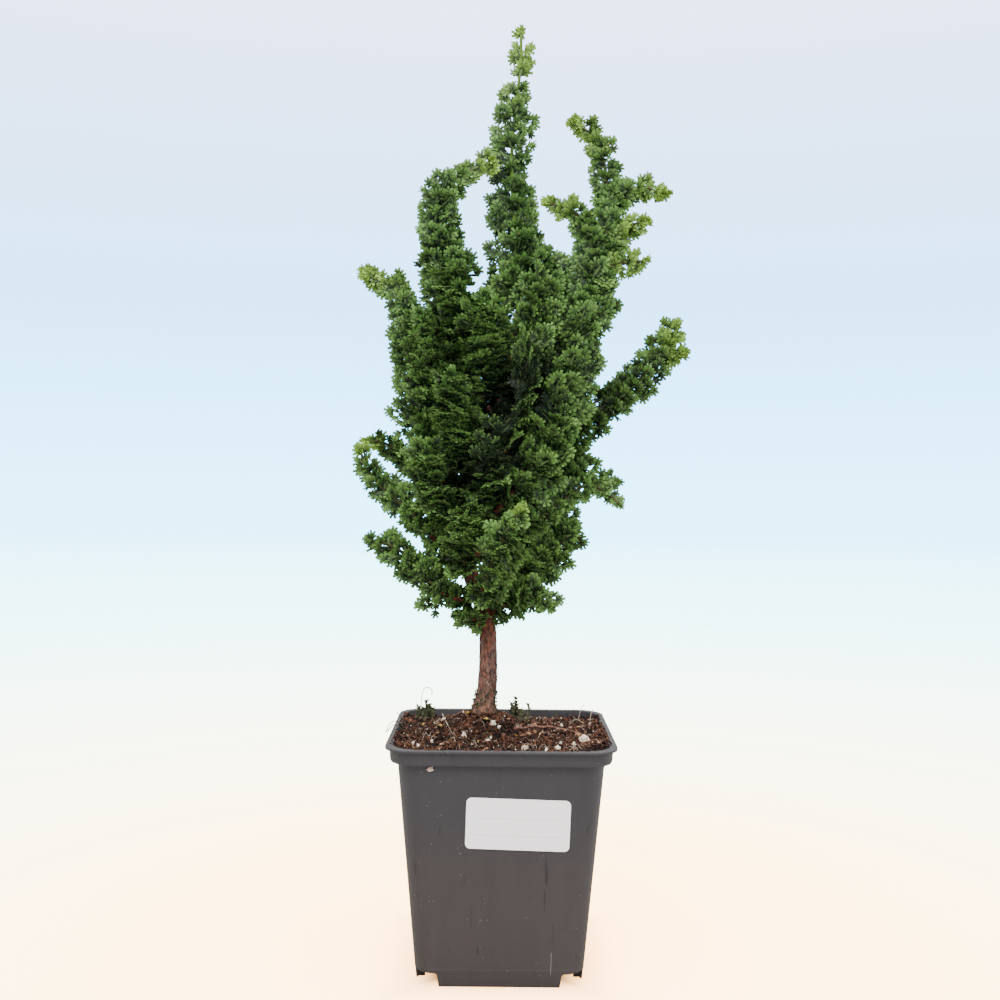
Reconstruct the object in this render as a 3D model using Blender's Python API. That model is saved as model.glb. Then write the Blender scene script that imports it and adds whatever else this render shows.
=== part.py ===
"""Hinoki cypress bonsai growing in a square plastic nursery pot.

Metres, +Z up. The pot stands on z = 0 about the Z axis while the pieces are modelled, and at the end the
whole plant is set over the origin by the middle of its footprint.
"""

import math
import random
from collections import namedtuple

import bmesh
import bpy
from mathutils import Matrix, Vector, noise
from mathutils.bvhtree import BVHTree

# Clearance between pieces that touch.
GAP = 0.0003

# The pot: a tapered box with rounded corners, a collar and a thin lip at the top, and four skirts that it
# stands on.
POT_HEIGHT = 0.094
POT_WALL = 0.001
FOOT_HALF = 0.0328
WALL_LEAN = 0.0866
WALL_CORNER = 0.0095
COLLAR_LOW = 0.0878
COLLAR_HALF = 0.0432
COLLAR_CORNER = 0.0100
LIP_HALF = 0.0450
LIP_THICK = 0.0010
LIP_CORNER = 0.0112
FLOOR_UNDER = 0.0056
SKIRT_HALF = 0.0243
SKIRT_SLANT = 0.0011
NOTCH_HEIGHT = 0.0053
NOTCH_REACH = 0.015
DRAIN_RADIUS = 0.0035
DRAIN_SPREAD = 0.0170

# The label on the front wall.
LABEL_SIZE = (0.040, 0.020)
LABEL_THICK = 0.0004
LABEL_CORNER = 0.0020
LABEL_PLACE = (0.0066, 0.0649)
LABEL_TILT = math.radians(1.5)

# The compost: level at the lip, dipping at the back and mounded round the trunk.
SOIL_LEVEL = 0.0922
SOIL_DIP = 0.0016
MOUND_HEIGHT = 0.0080
MOUND_SPREAD = 0.0170
LUMP_HEIGHT = 0.0011
LUMP_SIZE = 0.0060
SOIL_CELLS = 12

# The trunk, from its buried foot to the foot of the leader, and the round hole that it stands in.
TRUNK_X = -0.0073
TRUNK_Y = 0.0040
FOOT_RADIUS = 0.0050
FOOT_DEPTH = 0.072
TRUNK_TOP = 0.269
TRUNK_ROUTE = (
    (TRUNK_X, TRUNK_Y, FOOT_DEPTH),
    (TRUNK_X, TRUNK_Y, 0.1005),
    (-0.0062, 0.004, 0.110),
    (-0.0058, 0.004, 0.122),
    (-0.0064, 0.004, 0.138),
    (-0.0100, 0.004, 0.149),
    (-0.0142, 0.004, 0.160),
    (-0.0146, 0.004, 0.170),
    (-0.0128, 0.004, 0.181),
    (-0.0096, 0.005, 0.198),
    (-0.0056, 0.006, 0.214),
    (-0.0018, 0.006, 0.231),
    (0.0021, 0.006, 0.252),
    (0.0052, 0.006, TRUNK_TOP),
)
# Trunk radius at these heights, joined by straight tapers.
TRUNK_TAPER = ((FOOT_DEPTH, FOOT_RADIUS), (0.101, FOOT_RADIUS), (0.106, 0.0044), (0.125, 0.0039),
               (0.150, 0.0036), (0.180, 0.0029), (0.215, 0.0022), (TRUNK_TOP, 0.0013))

# Foliage: fan-shaped sprays with fingered edges, in pairs that turn up each leafy stem. The stem is
# thickened by its old inner sprays, a slim core that the fans stand out of.
GOLDEN_ANGLE = math.radians(137.5)
FINGERS = 5
CLEFT = 0.70
FAN_SPREAD = math.radians(55)
FAN_MIDDLE = 0.30
FAN_CUP = (0.08, 0.20)
SHOULDER_DROP = 0.25
SPRAY_THICK = 0.0018
SPRAY_WIDTH = 1.20
PAIR_SPACING = 0.80
CLOSEST_PAIRS = 0.0073
SPRAY_LEAN = math.radians(50)
END_SPRAY = 1.6
CORE_SHARE = 0.17
STEM_RADIUS = 0.0009
TIP_RADIUS = 0.0006
NODE_HALF = 0.0009
LIMB_STEP = 0.0095
LONG_LIMB = 0.060
STOUT_LIMB = 0.0019
THIN_LIMB = 0.0014
SEED = 11

# A limb: the length of its wood that stays bare, how far its sprays reach out at shares of the way along it,
# and the routes of its stem and of the side stems that are fused to it.
Limb = namedtuple("Limb", "name bare reach routes")
Spray = namedtuple("Spray", "foot along across length seed")
SIDE_REACH = ((0.0, 0.0070), (1.0, 0.0050))

LEADER = Limb("leader", 0.0, ((0.0, 0.0120), (0.70, 0.0100), (0.85, 0.0064), (1.0, 0.0034)), (
    ((0.0052, 0.006, TRUNK_TOP), (0.0054, 0.006, 0.285), (0.0033, 0.006, 0.305), (0.0021, 0.006, 0.332),
     (0.0033, 0.006, 0.352), (0.0056, 0.006, 0.372), (0.0055, 0.006, 0.3835)),
))
# The limbs that stand out in the crown's outline.
ARMS = (
    Limb("left_arm_high", 0.030, ((0.0, 0.0125), (0.62, 0.0120), (0.72, 0.0085), (0.85, 0.0055),
                                  (1.0, 0.0044)), (
        ((-0.0120, 0.004, 0.185), (-0.0165, 0.003, 0.206), (-0.0205, 0.001, 0.226), (-0.0232, 0.0, 0.247),
         (-0.0240, 0.0, 0.268), (-0.0266, 0.0, 0.287), (-0.0295, 0.0, 0.303), (-0.0285, 0.0, 0.3135),
         (-0.0214, 0.0, 0.3215), (-0.0132, 0.0, 0.3265), (-0.0080, 0.0, 0.3290)),
    )),
    Limb("left_arm_low", 0.030, ((0.0, 0.0130), (0.70, 0.0095), (1.0, 0.0044)), (
        ((-0.0138, 0.002, 0.176), (-0.0235, -0.006, 0.194), (-0.0325, -0.008, 0.215),
         (-0.0366, -0.008, 0.237), (-0.0380, -0.008, 0.254), (-0.0402, -0.008, 0.268),
         (-0.0448, -0.008, 0.275), (-0.0515, -0.008, 0.278), (-0.0575, -0.008, 0.281)),
    )),
    Limb("right_arm", 0.034, ((0.0, 0.0135), (0.60, 0.0120), (0.78, 0.0070), (1.0, 0.0044)), (
        ((-0.0140, 0.003, 0.172), (0.0000, -0.012, 0.188), (0.0144, -0.018, 0.209), (0.0221, -0.018, 0.231),
         (0.0275, -0.018, 0.253), (0.0327, -0.016, 0.273), (0.0371, -0.014, 0.291), (0.0402, -0.014, 0.307),
         (0.0400, -0.014, 0.321), (0.0375, -0.014, 0.331), (0.0330, -0.014, 0.3375),
         (0.0275, -0.014, 0.3405)),
        ((0.0402, -0.014, 0.307), (0.0466, -0.014, 0.3125), (0.0538, -0.014, 0.3155),
         (0.0630, -0.014, 0.3135)),
        ((0.0360, -0.014, 0.287), (0.0300, -0.014, 0.303), (0.0226, -0.014, 0.307),
         (0.0175, -0.014, 0.3085)),
        ((0.0385, -0.015, 0.296), (0.0465, -0.016, 0.299), (0.0545, -0.018, 0.3005)),
        ((0.0340, -0.016, 0.279), (0.0440, -0.017, 0.284), (0.0540, -0.018, 0.2850)),
    )),
    Limb("right_reach", 0.036, ((0.0, 0.0105), (0.70, 0.0080), (1.0, 0.0074)), (
        ((-0.0128, 0.004, 0.180), (0.0068, 0.004, 0.197), (0.0235, 0.004, 0.2115), (0.0413, 0.004, 0.2275),
         (0.0530, 0.004, 0.2365), (0.0620, 0.004, 0.2465), (0.0680, 0.004, 0.2545), (0.0710, 0.004, 0.2600)),
        ((0.0650, 0.004, 0.2505), (0.0695, 0.004, 0.2515), (0.0735, 0.004, 0.2515)),
    )),
    Limb("right_twig", 0.026, ((0.0, 0.0085), (1.0, 0.0045)), (
        ((-0.0145, 0.003, 0.164), (0.0069, -0.008, 0.1765), (0.0230, -0.012, 0.1885),
         (0.0331, -0.012, 0.1955), (0.0400, -0.012, 0.1972), (0.0465, -0.012, 0.1966)),
        ((0.0345, -0.012, 0.1960), (0.0415, -0.013, 0.1925), (0.0468, -0.014, 0.1875)),
    )),
    Limb("loop_low", 0.022, ((0.0, 0.0085), (1.0, 0.0048)), (
        ((-0.0145, 0.002, 0.1600), (-0.0218, -0.005, 0.1660), (-0.0291, -0.010, 0.1740),
         (-0.0372, -0.013, 0.1835), (-0.0442, -0.014, 0.1895), (-0.0510, -0.014, 0.1955),
         (-0.0560, -0.014, 0.2025), (-0.0575, -0.014, 0.2070)),
    )),
    Limb("loop_high", 0.022, ((0.0, 0.0095), (1.0, 0.0045)), (
        ((-0.0146, 0.003, 0.170), (-0.0250, 0.004, 0.184), (-0.0350, 0.004, 0.198), (-0.0430, 0.002, 0.2075),
         (-0.0505, -0.002, 0.2125), (-0.0560, -0.005, 0.2125)),
    )),
    Limb("left_low", 0.018, ((0.0, 0.0095), (1.0, 0.0065)), (
        ((-0.0090, 0.003, 0.1470), (-0.0195, -0.006, 0.1485), (-0.0267, -0.010, 0.1530),
         (-0.0348, -0.012, 0.1615), (-0.0428, -0.014, 0.1690), (-0.0505, -0.014, 0.1715)),
    )),
    Limb("front_fan", 0.016, ((0.0, 0.0120), (1.0, 0.0075)), (
        ((-0.0095, 0.003, 0.1480), (-0.0076, -0.014, 0.1535), (-0.0040, -0.028, 0.1655),
         (0.0010, -0.037, 0.1765), (0.0060, -0.041, 0.1850)),
    )),
    Limb("low_right", 0.010, ((0.0, 0.0100), (1.0, 0.0070)), (
        ((-0.0065, 0.004, 0.1400), (0.0051, -0.008, 0.1490), (0.0131, -0.012, 0.1510),
         (0.0175, -0.014, 0.1475)),
    )),
    Limb("low_right_wide", 0.014, ((0.0, 0.0105), (1.0, 0.0080)), (
        ((-0.0085, 0.004, 0.1445), (0.0070, -0.002, 0.1590), (0.0170, -0.005, 0.1670),
         (0.0250, -0.007, 0.1750)),
    )),
    Limb("low_left", 0.006, ((0.0, 0.0075), (1.0, 0.0060)), (
        ((-0.0060, 0.004, 0.1350), (-0.0110, -0.002, 0.1390), (-0.0140, -0.006, 0.1410)),
    )),
)

# The limbs that fill the crown's body leave the trunk in a rising spiral.
CROWN_LIMBS = 32
CROWN_START = (0.146, 0.246)
CROWN_TURN = math.radians(65)
CROWN_RISE = (0.018, 0.040)
CROWN_BARE = 0.008
CROWN_SPRAY = ((0.0, 0.0140), (1.0, 0.0110))
CROWN_MIDDLE = (-0.004, 0.000)
# How far out from the crown's middle the limbs reach at these heights.
CROWN_PROFILE = ((0.140, 0.014), (0.160, 0.023), (0.180, 0.030), (0.200, 0.033), (0.230, 0.034),
                 (0.250, 0.032), (0.275, 0.026), (0.300, 0.018))
CROWN_CLEAR = 0.0048

# White drainage grains that lie half sunk in the compost: x, y and radius.
GRAINS = ((-0.0245, 0.0100, 0.0020), (-0.0035, -0.0080, 0.0018), (0.0330, -0.0190, 0.0026),
          (0.0090, -0.0330, 0.0017), (0.0220, -0.0300, 0.0015), (-0.0150, -0.0160, 0.0014))
# Fine roots that show on the compost: points along each, as x and y.
SURFACE_ROOTS = (
    ((-0.0200, 0.0135), (-0.0175, 0.0090), (-0.0155, 0.0040), (-0.0140, -0.0010)),
    ((0.0050, -0.0100), (0.0120, -0.0030), (0.0200, 0.0010), (0.0275, 0.0010), (0.0320, -0.0060)),
)
ROOT_RADIUS = 0.0006
ROOT_ARCH = 0.0010
# Dry moss stalks that stand in the compost: x, y and height.
STALKS = ((-0.0335, 0.0290, 0.0085), (0.0065, 0.0110, 0.0100))
STALK_RADIUS = 0.0007
STALK_LEAF = (0.0022, 0.0036)
STALK_DEPTH = 0.004

PLANT = "hinoki_cypress_bonsai"
COLOURS = {
    "pot_plastic": ((0.085, 0.088, 0.098), 0.55),
    "compost": ((0.070, 0.038, 0.026), 0.95),
    "bark": ((0.200, 0.085, 0.050), 0.85),
    "foliage": ((0.040, 0.095, 0.030), 0.60),
    "young_foliage": ((0.110, 0.210, 0.035), 0.60),
    "label_paper": ((0.900, 0.890, 0.890), 0.50),
    "grain": ((0.700, 0.640, 0.540), 0.85),
    "dry_moss": ((0.045, 0.050, 0.025), 0.90),
}


def clear_scene():
    for obj in list(bpy.data.objects):
        bpy.data.objects.remove(obj)


def new_collection(name):
    collection = bpy.data.collections.new(name)
    bpy.context.scene.collection.children.link(collection)
    return collection


clear_scene()
PARTS = new_collection(PLANT)
CUTTERS = new_collection("cutters")


def material(name):
    """A plain finish with the piece's own colour and roughness."""
    found = bpy.data.materials.get(name)
    if found:
        return found
    colour, roughness = COLOURS[name]
    made = bpy.data.materials.new(name)
    made.use_nodes = True
    shader = made.node_tree.nodes["Principled BSDF"]
    shader.inputs["Base Color"].default_value = (*colour, 1.0)
    shader.inputs["Roughness"].default_value = roughness
    shader.inputs["Metallic"].default_value = 0.0
    return made


def new_object(name, mesh, collection=PARTS, finish=None):
    obj = bpy.data.objects.new(name, mesh)
    collection.objects.link(obj)
    if finish:
        mesh.materials.clear()
        mesh.materials.append(material(finish))
    return obj


def object_from_bmesh(name, bm, collection=PARTS, finish=None):
    mesh = bpy.data.meshes.new(name)
    bm.to_mesh(mesh)
    bm.free()
    return new_object(name, mesh, collection, finish)


def as_cutter(obj):
    obj.hide_render = True
    obj.display_type = "WIRE"
    return obj


def add_boolean(target, other, operation):
    modifier = target.modifiers.new(operation.lower(), "BOOLEAN")
    modifier.operation = operation
    modifier.object = other
    return modifier


def bake(obj):
    """The object's modifiers become its mesh."""
    bpy.context.view_layer.update()
    graph = bpy.context.evaluated_depsgraph_get()
    mesh = bpy.data.meshes.new_from_object(obj.evaluated_get(graph))
    obj.modifiers.clear()
    obj.data = mesh
    return obj


def fuse(base, pieces):
    """One Boolean union joins the pieces, all in one collection, to the base. They are then removed."""
    group = new_collection("pieces of " + base.name)
    for piece in pieces:
        for owner in list(piece.users_collection):
            owner.objects.unlink(piece)
        group.objects.link(piece)
    modifier = base.modifiers.new("union", "BOOLEAN")
    modifier.operation = "UNION"
    modifier.operand_type = "COLLECTION"
    modifier.collection = group
    modifier.solver = "MANIFOLD"
    bake(base)
    for piece in list(group.objects):
        bpy.data.objects.remove(piece)
    bpy.data.collections.remove(group)
    keep_outer_skin(base)
    return base


def keep_outer_skin(obj):
    """Drops loose scraps and the walls of sealed hollows, so that the one body is solid inside."""
    bm = bmesh.new()
    bm.from_mesh(obj.data)
    waiting = set(bm.faces)
    islands = []
    while waiting:
        island = {waiting.pop()}
        edge = list(island)
        while edge:
            face = edge.pop()
            for other in (f for side in face.edges for f in side.link_faces if f in waiting):
                waiting.discard(other)
                island.add(other)
                edge.append(other)
        islands.append(island)
    outer = max(islands, key=lambda faces: sum(face.calc_area() for face in faces))
    for island in islands:
        if island is not outer:
            bmesh.ops.delete(bm, geom=list(island), context="FACES")
    bm.to_mesh(obj.data)
    bm.free()


def step_value(table, at):
    """Straight-line value from a table of (place, value) rows."""
    if at <= table[0][0]:
        return table[0][1]
    for (low, first), (high, second) in zip(table, table[1:]):
        if at <= high:
            return first + (second - first) * (at - low) / (high - low)
    return table[-1][1]


def mix(pair, share):
    return pair[0] + (pair[1] - pair[0]) * share


# Curved routes


def curve_through(points, per_span=8):
    """Points on a smooth curve that passes through each of the given ones."""
    knots = [Vector(p) for p in points]
    knots = [2 * knots[0] - knots[1], *knots, 2 * knots[-1] - knots[-2]]
    line = []
    for a, b, c, d in zip(knots, knots[1:], knots[2:], knots[3:]):
        for step in range(per_span):
            t = step / per_span
            line.append(0.5 * (2 * b + (c - a) * t + (2 * a - 5 * b + 4 * c - d) * t ** 2
                               + (3 * b - a - 3 * c + d) * t ** 3))
    line.append(knots[-2])
    return line


def line_length(line):
    return sum((b - a).length for a, b in zip(line, line[1:]))


def point_at(line, distance):
    """(point, direction) at a distance along a line of points."""
    for a, b in zip(line, line[1:]):
        span = (b - a).length
        if distance <= span:
            return a + (b - a) * (distance / span), (b - a).normalized()
        distance -= span
    return line[-1].copy(), (line[-1] - line[-2]).normalized()


def even_points(line, low, high, step):
    """Points from one distance along the line to another, about a step apart."""
    count = max(2, round((high - low) / step) + 1)
    return [point_at(line, low + (high - low) * i / (count - 1))[0] for i in range(count)]


def tube(name, points, radii, resolution=1):
    """A round stem through the points: a curve with a bevel and filled caps, made a closed mesh."""
    curve = bpy.data.curves.new(name, "CURVE")
    curve.dimensions = "3D"
    curve.bevel_depth = 1.0
    curve.bevel_resolution = resolution
    curve.use_fill_caps = True
    spline = curve.splines.new("POLY")
    spline.points.add(len(points) - 1)
    for knot, point, radius in zip(spline.points, points, radii):
        knot.co = (*point, 1.0)
        knot.radius = radius
    guide = bpy.data.objects.new(name, curve)
    CUTTERS.objects.link(guide)
    bpy.context.view_layer.update()
    graph = bpy.context.evaluated_depsgraph_get()
    mesh = bpy.data.meshes.new_from_object(guide.evaluated_get(graph))
    bpy.data.objects.remove(guide)
    bm = bmesh.new()
    bm.from_mesh(mesh)
    bmesh.ops.remove_doubles(bm, verts=bm.verts, dist=1e-6)
    bm.to_mesh(mesh)
    bm.free()
    return new_object(name, mesh, CUTTERS)


# Pot


def wall_half(height):
    """Half the pot's outer width at a height up its wall."""
    return FOOT_HALF + WALL_LEAN * height


def tapered_block(name, low, high, inset, corner, halves=None):
    """A rounded square block between two heights that follows the pot's wall, or has its own half widths."""
    halves = halves or (wall_half(low) - inset, wall_half(high) - inset)
    bm = bmesh.new()
    bmesh.ops.create_cube(bm, size=2.0)
    for vert in bm.verts:
        half = halves[0] if vert.co.z < 0 else halves[1]
        vert.co = (vert.co.x * half, vert.co.y * half, low if vert.co.z < 0 else high)
    upright = [e for e in bm.edges if abs(e.verts[0].co.z - e.verts[1].co.z) > 1e-6]
    bmesh.ops.bevel(bm, geom=upright, offset=corner, segments=4, profile=0.5, affect="EDGES")
    return object_from_bmesh(name, bm, CUTTERS)


def notch_cutter(sign_x, sign_y):
    """A block that cuts the pot's foot away at one corner, wider at the floor than above."""
    bm = bmesh.new()
    bmesh.ops.create_cube(bm, size=2.0)
    for vert in bm.verts:
        half = NOTCH_REACH + (SKIRT_SLANT if vert.co.z < 0 else -SKIRT_SLANT)
        middle = SKIRT_HALF + NOTCH_REACH
        vert.co = (sign_x * middle + vert.co.x * half, sign_y * middle + vert.co.y * half,
                   -0.001 if vert.co.z < 0 else NOTCH_HEIGHT)
    return object_from_bmesh("notch", bm, CUTTERS)


def drain_cutter(x, y):
    bm = bmesh.new()
    bmesh.ops.create_cone(bm, cap_ends=True, segments=12, radius1=DRAIN_RADIUS, radius2=DRAIN_RADIUS,
                          depth=4 * POT_WALL, matrix=Matrix.Translation((x, y, FLOOR_UNDER + POT_WALL / 2)))
    return object_from_bmesh("drain", bm, CUTTERS)


def make_pot():
    pot = tapered_block("pot", 0.0, COLLAR_LOW + 0.002, 0.0, WALL_CORNER)
    CUTTERS.objects.unlink(pot)
    PARTS.objects.link(pot)
    pot.data.materials.append(material("pot_plastic"))
    collar = tapered_block("collar", COLLAR_LOW, POT_HEIGHT - LIP_THICK / 2, 0, COLLAR_CORNER,
                           (COLLAR_HALF, COLLAR_HALF))
    lip = tapered_block("lip", POT_HEIGHT - LIP_THICK, POT_HEIGHT, 0, LIP_CORNER, (LIP_HALF, LIP_HALF))
    add_boolean(pot, as_cutter(collar), "UNION")
    add_boolean(pot, as_cutter(lip), "UNION")
    inner_corner = WALL_CORNER - POT_WALL
    over = POT_HEIGHT + 0.01
    cuts = [
        tapered_block("inside", FLOOR_UNDER + POT_WALL, over, POT_WALL, inner_corner),
        tapered_block("collar_inside", COLLAR_LOW + POT_WALL, over, 0, COLLAR_CORNER - POT_WALL,
                      (COLLAR_HALF - POT_WALL, COLLAR_HALF - POT_WALL)),
        tapered_block("under_floor", -0.001, FLOOR_UNDER, POT_WALL, inner_corner),
    ]
    cuts += [notch_cutter(x, y) for x in (-1, 1) for y in (-1, 1)]
    cuts += [drain_cutter(x * DRAIN_SPREAD, y * DRAIN_SPREAD) for x in (-1, 1) for y in (-1, 1)]
    cuts.append(drain_cutter(0, 0))
    for cut in cuts:
        add_boolean(pot, as_cutter(cut), "DIFFERENCE")
    return bake(pot)


def make_label():
    """A paper sticker with rounded corners, flat on the leaning front wall."""
    width, height = LABEL_SIZE
    x, z = LABEL_PLACE
    lean = math.atan(WALL_LEAN)
    bm = bmesh.new()
    bmesh.ops.create_cube(bm, size=1.0, matrix=Matrix.Diagonal((width, LABEL_THICK, height, 1)))
    through = [e for e in bm.edges if abs(e.verts[0].co.y - e.verts[1].co.y) > LABEL_THICK / 2]
    bmesh.ops.bevel(bm, geom=through, offset=LABEL_CORNER, segments=4, profile=0.5, affect="EDGES")
    label = object_from_bmesh("label", bm, PARTS, "label_paper")
    label.rotation_euler = (lean, LABEL_TILT, 0)
    outward = Vector((0, -math.cos(lean), -math.sin(lean)))
    label.location = Vector((x, -wall_half(z), z)) + outward * (LABEL_THICK / 2 + GAP / 2)
    return label


# Compost


def soil_height(x, y):
    """Height of the compost's surface: a mound at the trunk, a dip at the back wall, and lumps."""
    from_trunk = math.hypot(x - TRUNK_X, y - TRUNK_Y)
    mound = MOUND_HEIGHT * math.exp(-((from_trunk / MOUND_SPREAD) ** 2))
    dip = SOIL_DIP * max(0.0, y / COLLAR_HALF) ** 2
    lumps = LUMP_HEIGHT * noise.noise(Vector((x, y, 0.0)) / LUMP_SIZE)
    return SOIL_LEVEL + mound - dip + lumps


def make_soil():
    inset = POT_WALL + GAP
    top = POT_HEIGHT + 0.026
    soil = tapered_block("soil", FLOOR_UNDER + POT_WALL + GAP, top, inset, WALL_CORNER - inset)
    CUTTERS.objects.unlink(soil)
    PARTS.objects.link(soil)
    soil.data.materials.append(material("compost"))
    in_collar = tapered_block("soil_in_collar", COLLAR_LOW + POT_WALL + GAP, top - 0.001, 0,
                              COLLAR_CORNER - inset, (COLLAR_HALF - inset, COLLAR_HALF - inset))
    bm = bmesh.new()
    bmesh.ops.create_grid(bm, x_segments=SOIL_CELLS, y_segments=SOIL_CELLS, size=COLLAR_HALF + 0.001)
    for vert in bm.verts:
        vert.co.z = soil_height(vert.co.x, vert.co.y)
    grown = bmesh.ops.extrude_face_region(bm, geom=list(bm.faces))
    for vert in (v for v in grown["geom"] if isinstance(v, bmesh.types.BMVert)):
        vert.co.z = 0.0
    bmesh.ops.recalc_face_normals(bm, faces=list(bm.faces))
    bmesh.ops.triangulate(bm, faces=list(bm.faces))
    ground = object_from_bmesh("ground", bm, CUTTERS)
    add_boolean(soil, as_cutter(in_collar), "UNION")
    add_boolean(soil, as_cutter(ground), "INTERSECT")
    hole = bmesh.new()
    hole_low = FOOT_DEPTH - GAP
    hole_high = POT_HEIGHT + 0.021
    bmesh.ops.create_cone(hole, cap_ends=True, segments=16, radius1=FOOT_RADIUS + 2 * GAP,
                          radius2=FOOT_RADIUS + 2 * GAP, depth=hole_high - hole_low,
                          matrix=Matrix.Translation((TRUNK_X, TRUNK_Y, (hole_low + hole_high) / 2)))
    add_boolean(soil, as_cutter(object_from_bmesh("trunk_hole", hole, CUTTERS)), "DIFFERENCE")
    return soil


def grain_shape(name, centre, radius, rng, collection):
    bm = bmesh.new()
    bmesh.ops.create_icosphere(bm, subdivisions=1, radius=radius)
    for vert in bm.verts:
        vert.co *= rng.uniform(0.8, 1.1)
    bmesh.ops.translate(bm, verts=bm.verts, vec=centre)
    return object_from_bmesh(name, bm, collection)


def make_grains(soil):
    """Drainage grains, each half sunk in a hollow of its own in the compost."""
    for index, (x, y, radius) in enumerate(GRAINS, 1):
        centre = Vector((x, y, soil_height(x, y) + 0.2 * radius))
        grain = grain_shape(f"perlite_grain_{index}", centre, radius, random.Random(index), PARTS)
        grain.data.materials.append(material("grain"))
        hollow = grain_shape("grain_hollow", centre, radius + 1.6 * GAP, random.Random(index), CUTTERS)
        add_boolean(soil, as_cutter(hollow), "DIFFERENCE")


def make_surface_roots(ground):
    """Fine roots that arch over the compost and lie on it."""
    for index, places in enumerate(SURFACE_ROOTS, 1):
        knots = [(x, y, 0.0) for x, y in places]
        line = curve_through(knots, 6)
        points = even_points(line, 0.0, line_length(line), 0.0026)
        last = len(points) - 1
        for step, point in enumerate(points):
            arch = ROOT_ARCH * math.sin(math.pi * step / last)
            point.z = ground_under(ground, point.x, point.y, ROOT_RADIUS) + ROOT_RADIUS + GAP + arch
        radii = [ROOT_RADIUS * (1.0 - 0.4 * step / last) for step in range(last + 1)]
        root = tube(f"surface_root_{index}", points, radii)
        CUTTERS.objects.unlink(root)
        PARTS.objects.link(root)
        root.data.materials.append(material("bark"))


def ground_under(ground, x, y, spread):
    """The highest the compost stands within a small square about a point."""
    places = [(x + i * spread, y + j * spread) for i in (-1, 0, 1) for j in (-1, 0, 1)]
    hits = [ground.ray_cast(Vector((a, b, 0.2)), Vector((0, 0, -1)))[0] for a, b in places]
    return max(hit.z for hit in hits if hit)


def make_stalks(soil):
    """Dry moss stalks with a few stiff side leaves, each in a plain round hole in the compost."""
    for index, (x, y, height) in enumerate(STALKS, 1):
        rng = random.Random(100 + index)
        foot = soil_height(x, y) - STALK_DEPTH
        top = soil_height(x, y) + height
        lean = Vector((rng.uniform(-0.0015, 0.0015), rng.uniform(-0.001, 0.001), 0))
        bend = Vector((x, y, mix((foot, top), 0.75))) + lean
        points = [Vector((x, y, foot)), Vector((x, y, foot + 0.0055)), bend, Vector((x, y, top)) + 2 * lean]
        stalk = tube(f"moss_stalk_{index}", points, [STALK_RADIUS] * 3 + [STALK_RADIUS / 2], 0)
        CUTTERS.objects.unlink(stalk)
        PARTS.objects.link(stalk)
        leaves = []
        for leaf in range(4):
            share = 0.55 + 0.12 * leaf
            root = Vector((x, y, mix((foot, top), share))) + lean * max(0.0, 2 * share - 1)
            turn = leaf * GOLDEN_ANGLE
            away = Vector((math.cos(turn), math.sin(turn), 0.9)).normalized() * rng.uniform(*STALK_LEAF)
            radii = [0.8 * STALK_RADIUS, 0.3 * STALK_RADIUS]
            leaves.append(tube("moss_leaf", [root, root + away], radii, 0))
        fuse(stalk, leaves)
        stalk.data.materials.clear()
        stalk.data.materials.append(material("dry_moss"))
        hole = bmesh.new()
        bmesh.ops.create_cone(hole, cap_ends=True, segments=8, radius1=STALK_RADIUS + 2 * GAP,
                              radius2=STALK_RADIUS + 2 * GAP, depth=0.012,
                              matrix=Matrix.Translation((x, y, foot - GAP + 0.006)))
        add_boolean(soil, as_cutter(object_from_bmesh("stalk_hole", hole, CUTTERS)), "DIFFERENCE")


# Wood


def trunk_radius(height):
    return step_value(TRUNK_TAPER, height)


def trunk_point(line, height):
    """The point of the trunk's middle line at a height."""
    for a, b in zip(line, line[1:]):
        if a.z <= height <= b.z:
            return a + (b - a) * ((height - a.z) / (b.z - a.z))
    return line[-1]


def crown_limbs(trunk_line):
    """Limbs in a rising spiral. Each runs out to the crown's profile and turns up, as the real ones do."""
    limbs = []
    for index in range(CROWN_LIMBS):
        rng = random.Random(SEED + index)
        share = index / (CROWN_LIMBS - 1)
        start = trunk_point(trunk_line, mix(CROWN_START, share))
        turn = CROWN_TURN + index * GOLDEN_ANGLE
        rise = mix(CROWN_RISE, min(1.0, 1.6 * share)) * rng.uniform(0.9, 1.2)
        top = start.z + rise
        reach = step_value(CROWN_PROFILE, top)
        end = Vector((CROWN_MIDDLE[0] + reach * math.cos(turn),
                      CROWN_MIDDLE[1] + reach * math.sin(turn), top))
        elbow = start.lerp(end, 0.55)
        elbow.z = start.z + 0.30 * rise
        upturn = end.lerp(elbow, 0.35) - Vector((0, 0, 0.001))
        route = (tuple(start), tuple(elbow), tuple(upturn), tuple(end))
        limbs.append(Limb("crown_limb", CROWN_BARE, CROWN_SPRAY, (route,)))
    return limbs


def cut_line(limb, route):
    """A limb's route in two parts, as points: the bare wood beyond the trunk, and the leafy length."""
    line = curve_through(route)
    first = route is limb.routes[0]
    bare = limb_bare(limb) if first and limb.bare else 0.0
    high = line_length(line)
    wood = even_points(line, bare / 2, bare, 0.002) if bare else []
    return wood, even_points(line, bare, high, 0.002)


def closest(line, others):
    """The least distance between two sets of points."""
    return min(((p - q).length for p in line for q in others), default=1.0)


def keep_clear(limbs, arms):
    """Leaves out a crown limb whose leafy length would run into another limb."""
    kept = []
    parts = [cut_line(limb, route) for limb in arms for route in limb.routes]
    woods = [p for wood, _ in parts for p in wood]
    leafy = [p for _, leaf in parts for p in leaf]
    for limb in limbs:
        wood, leaf = cut_line(limb, limb.routes[0])
        if min(closest(leaf, leafy), closest(leaf, woods), closest(wood, leafy)) > CROWN_CLEAR:
            kept.append(limb._replace(name=f"crown_limb_{len(kept) + 1:02d}"))
            woods += wood
            leafy += leaf
    return kept


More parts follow.
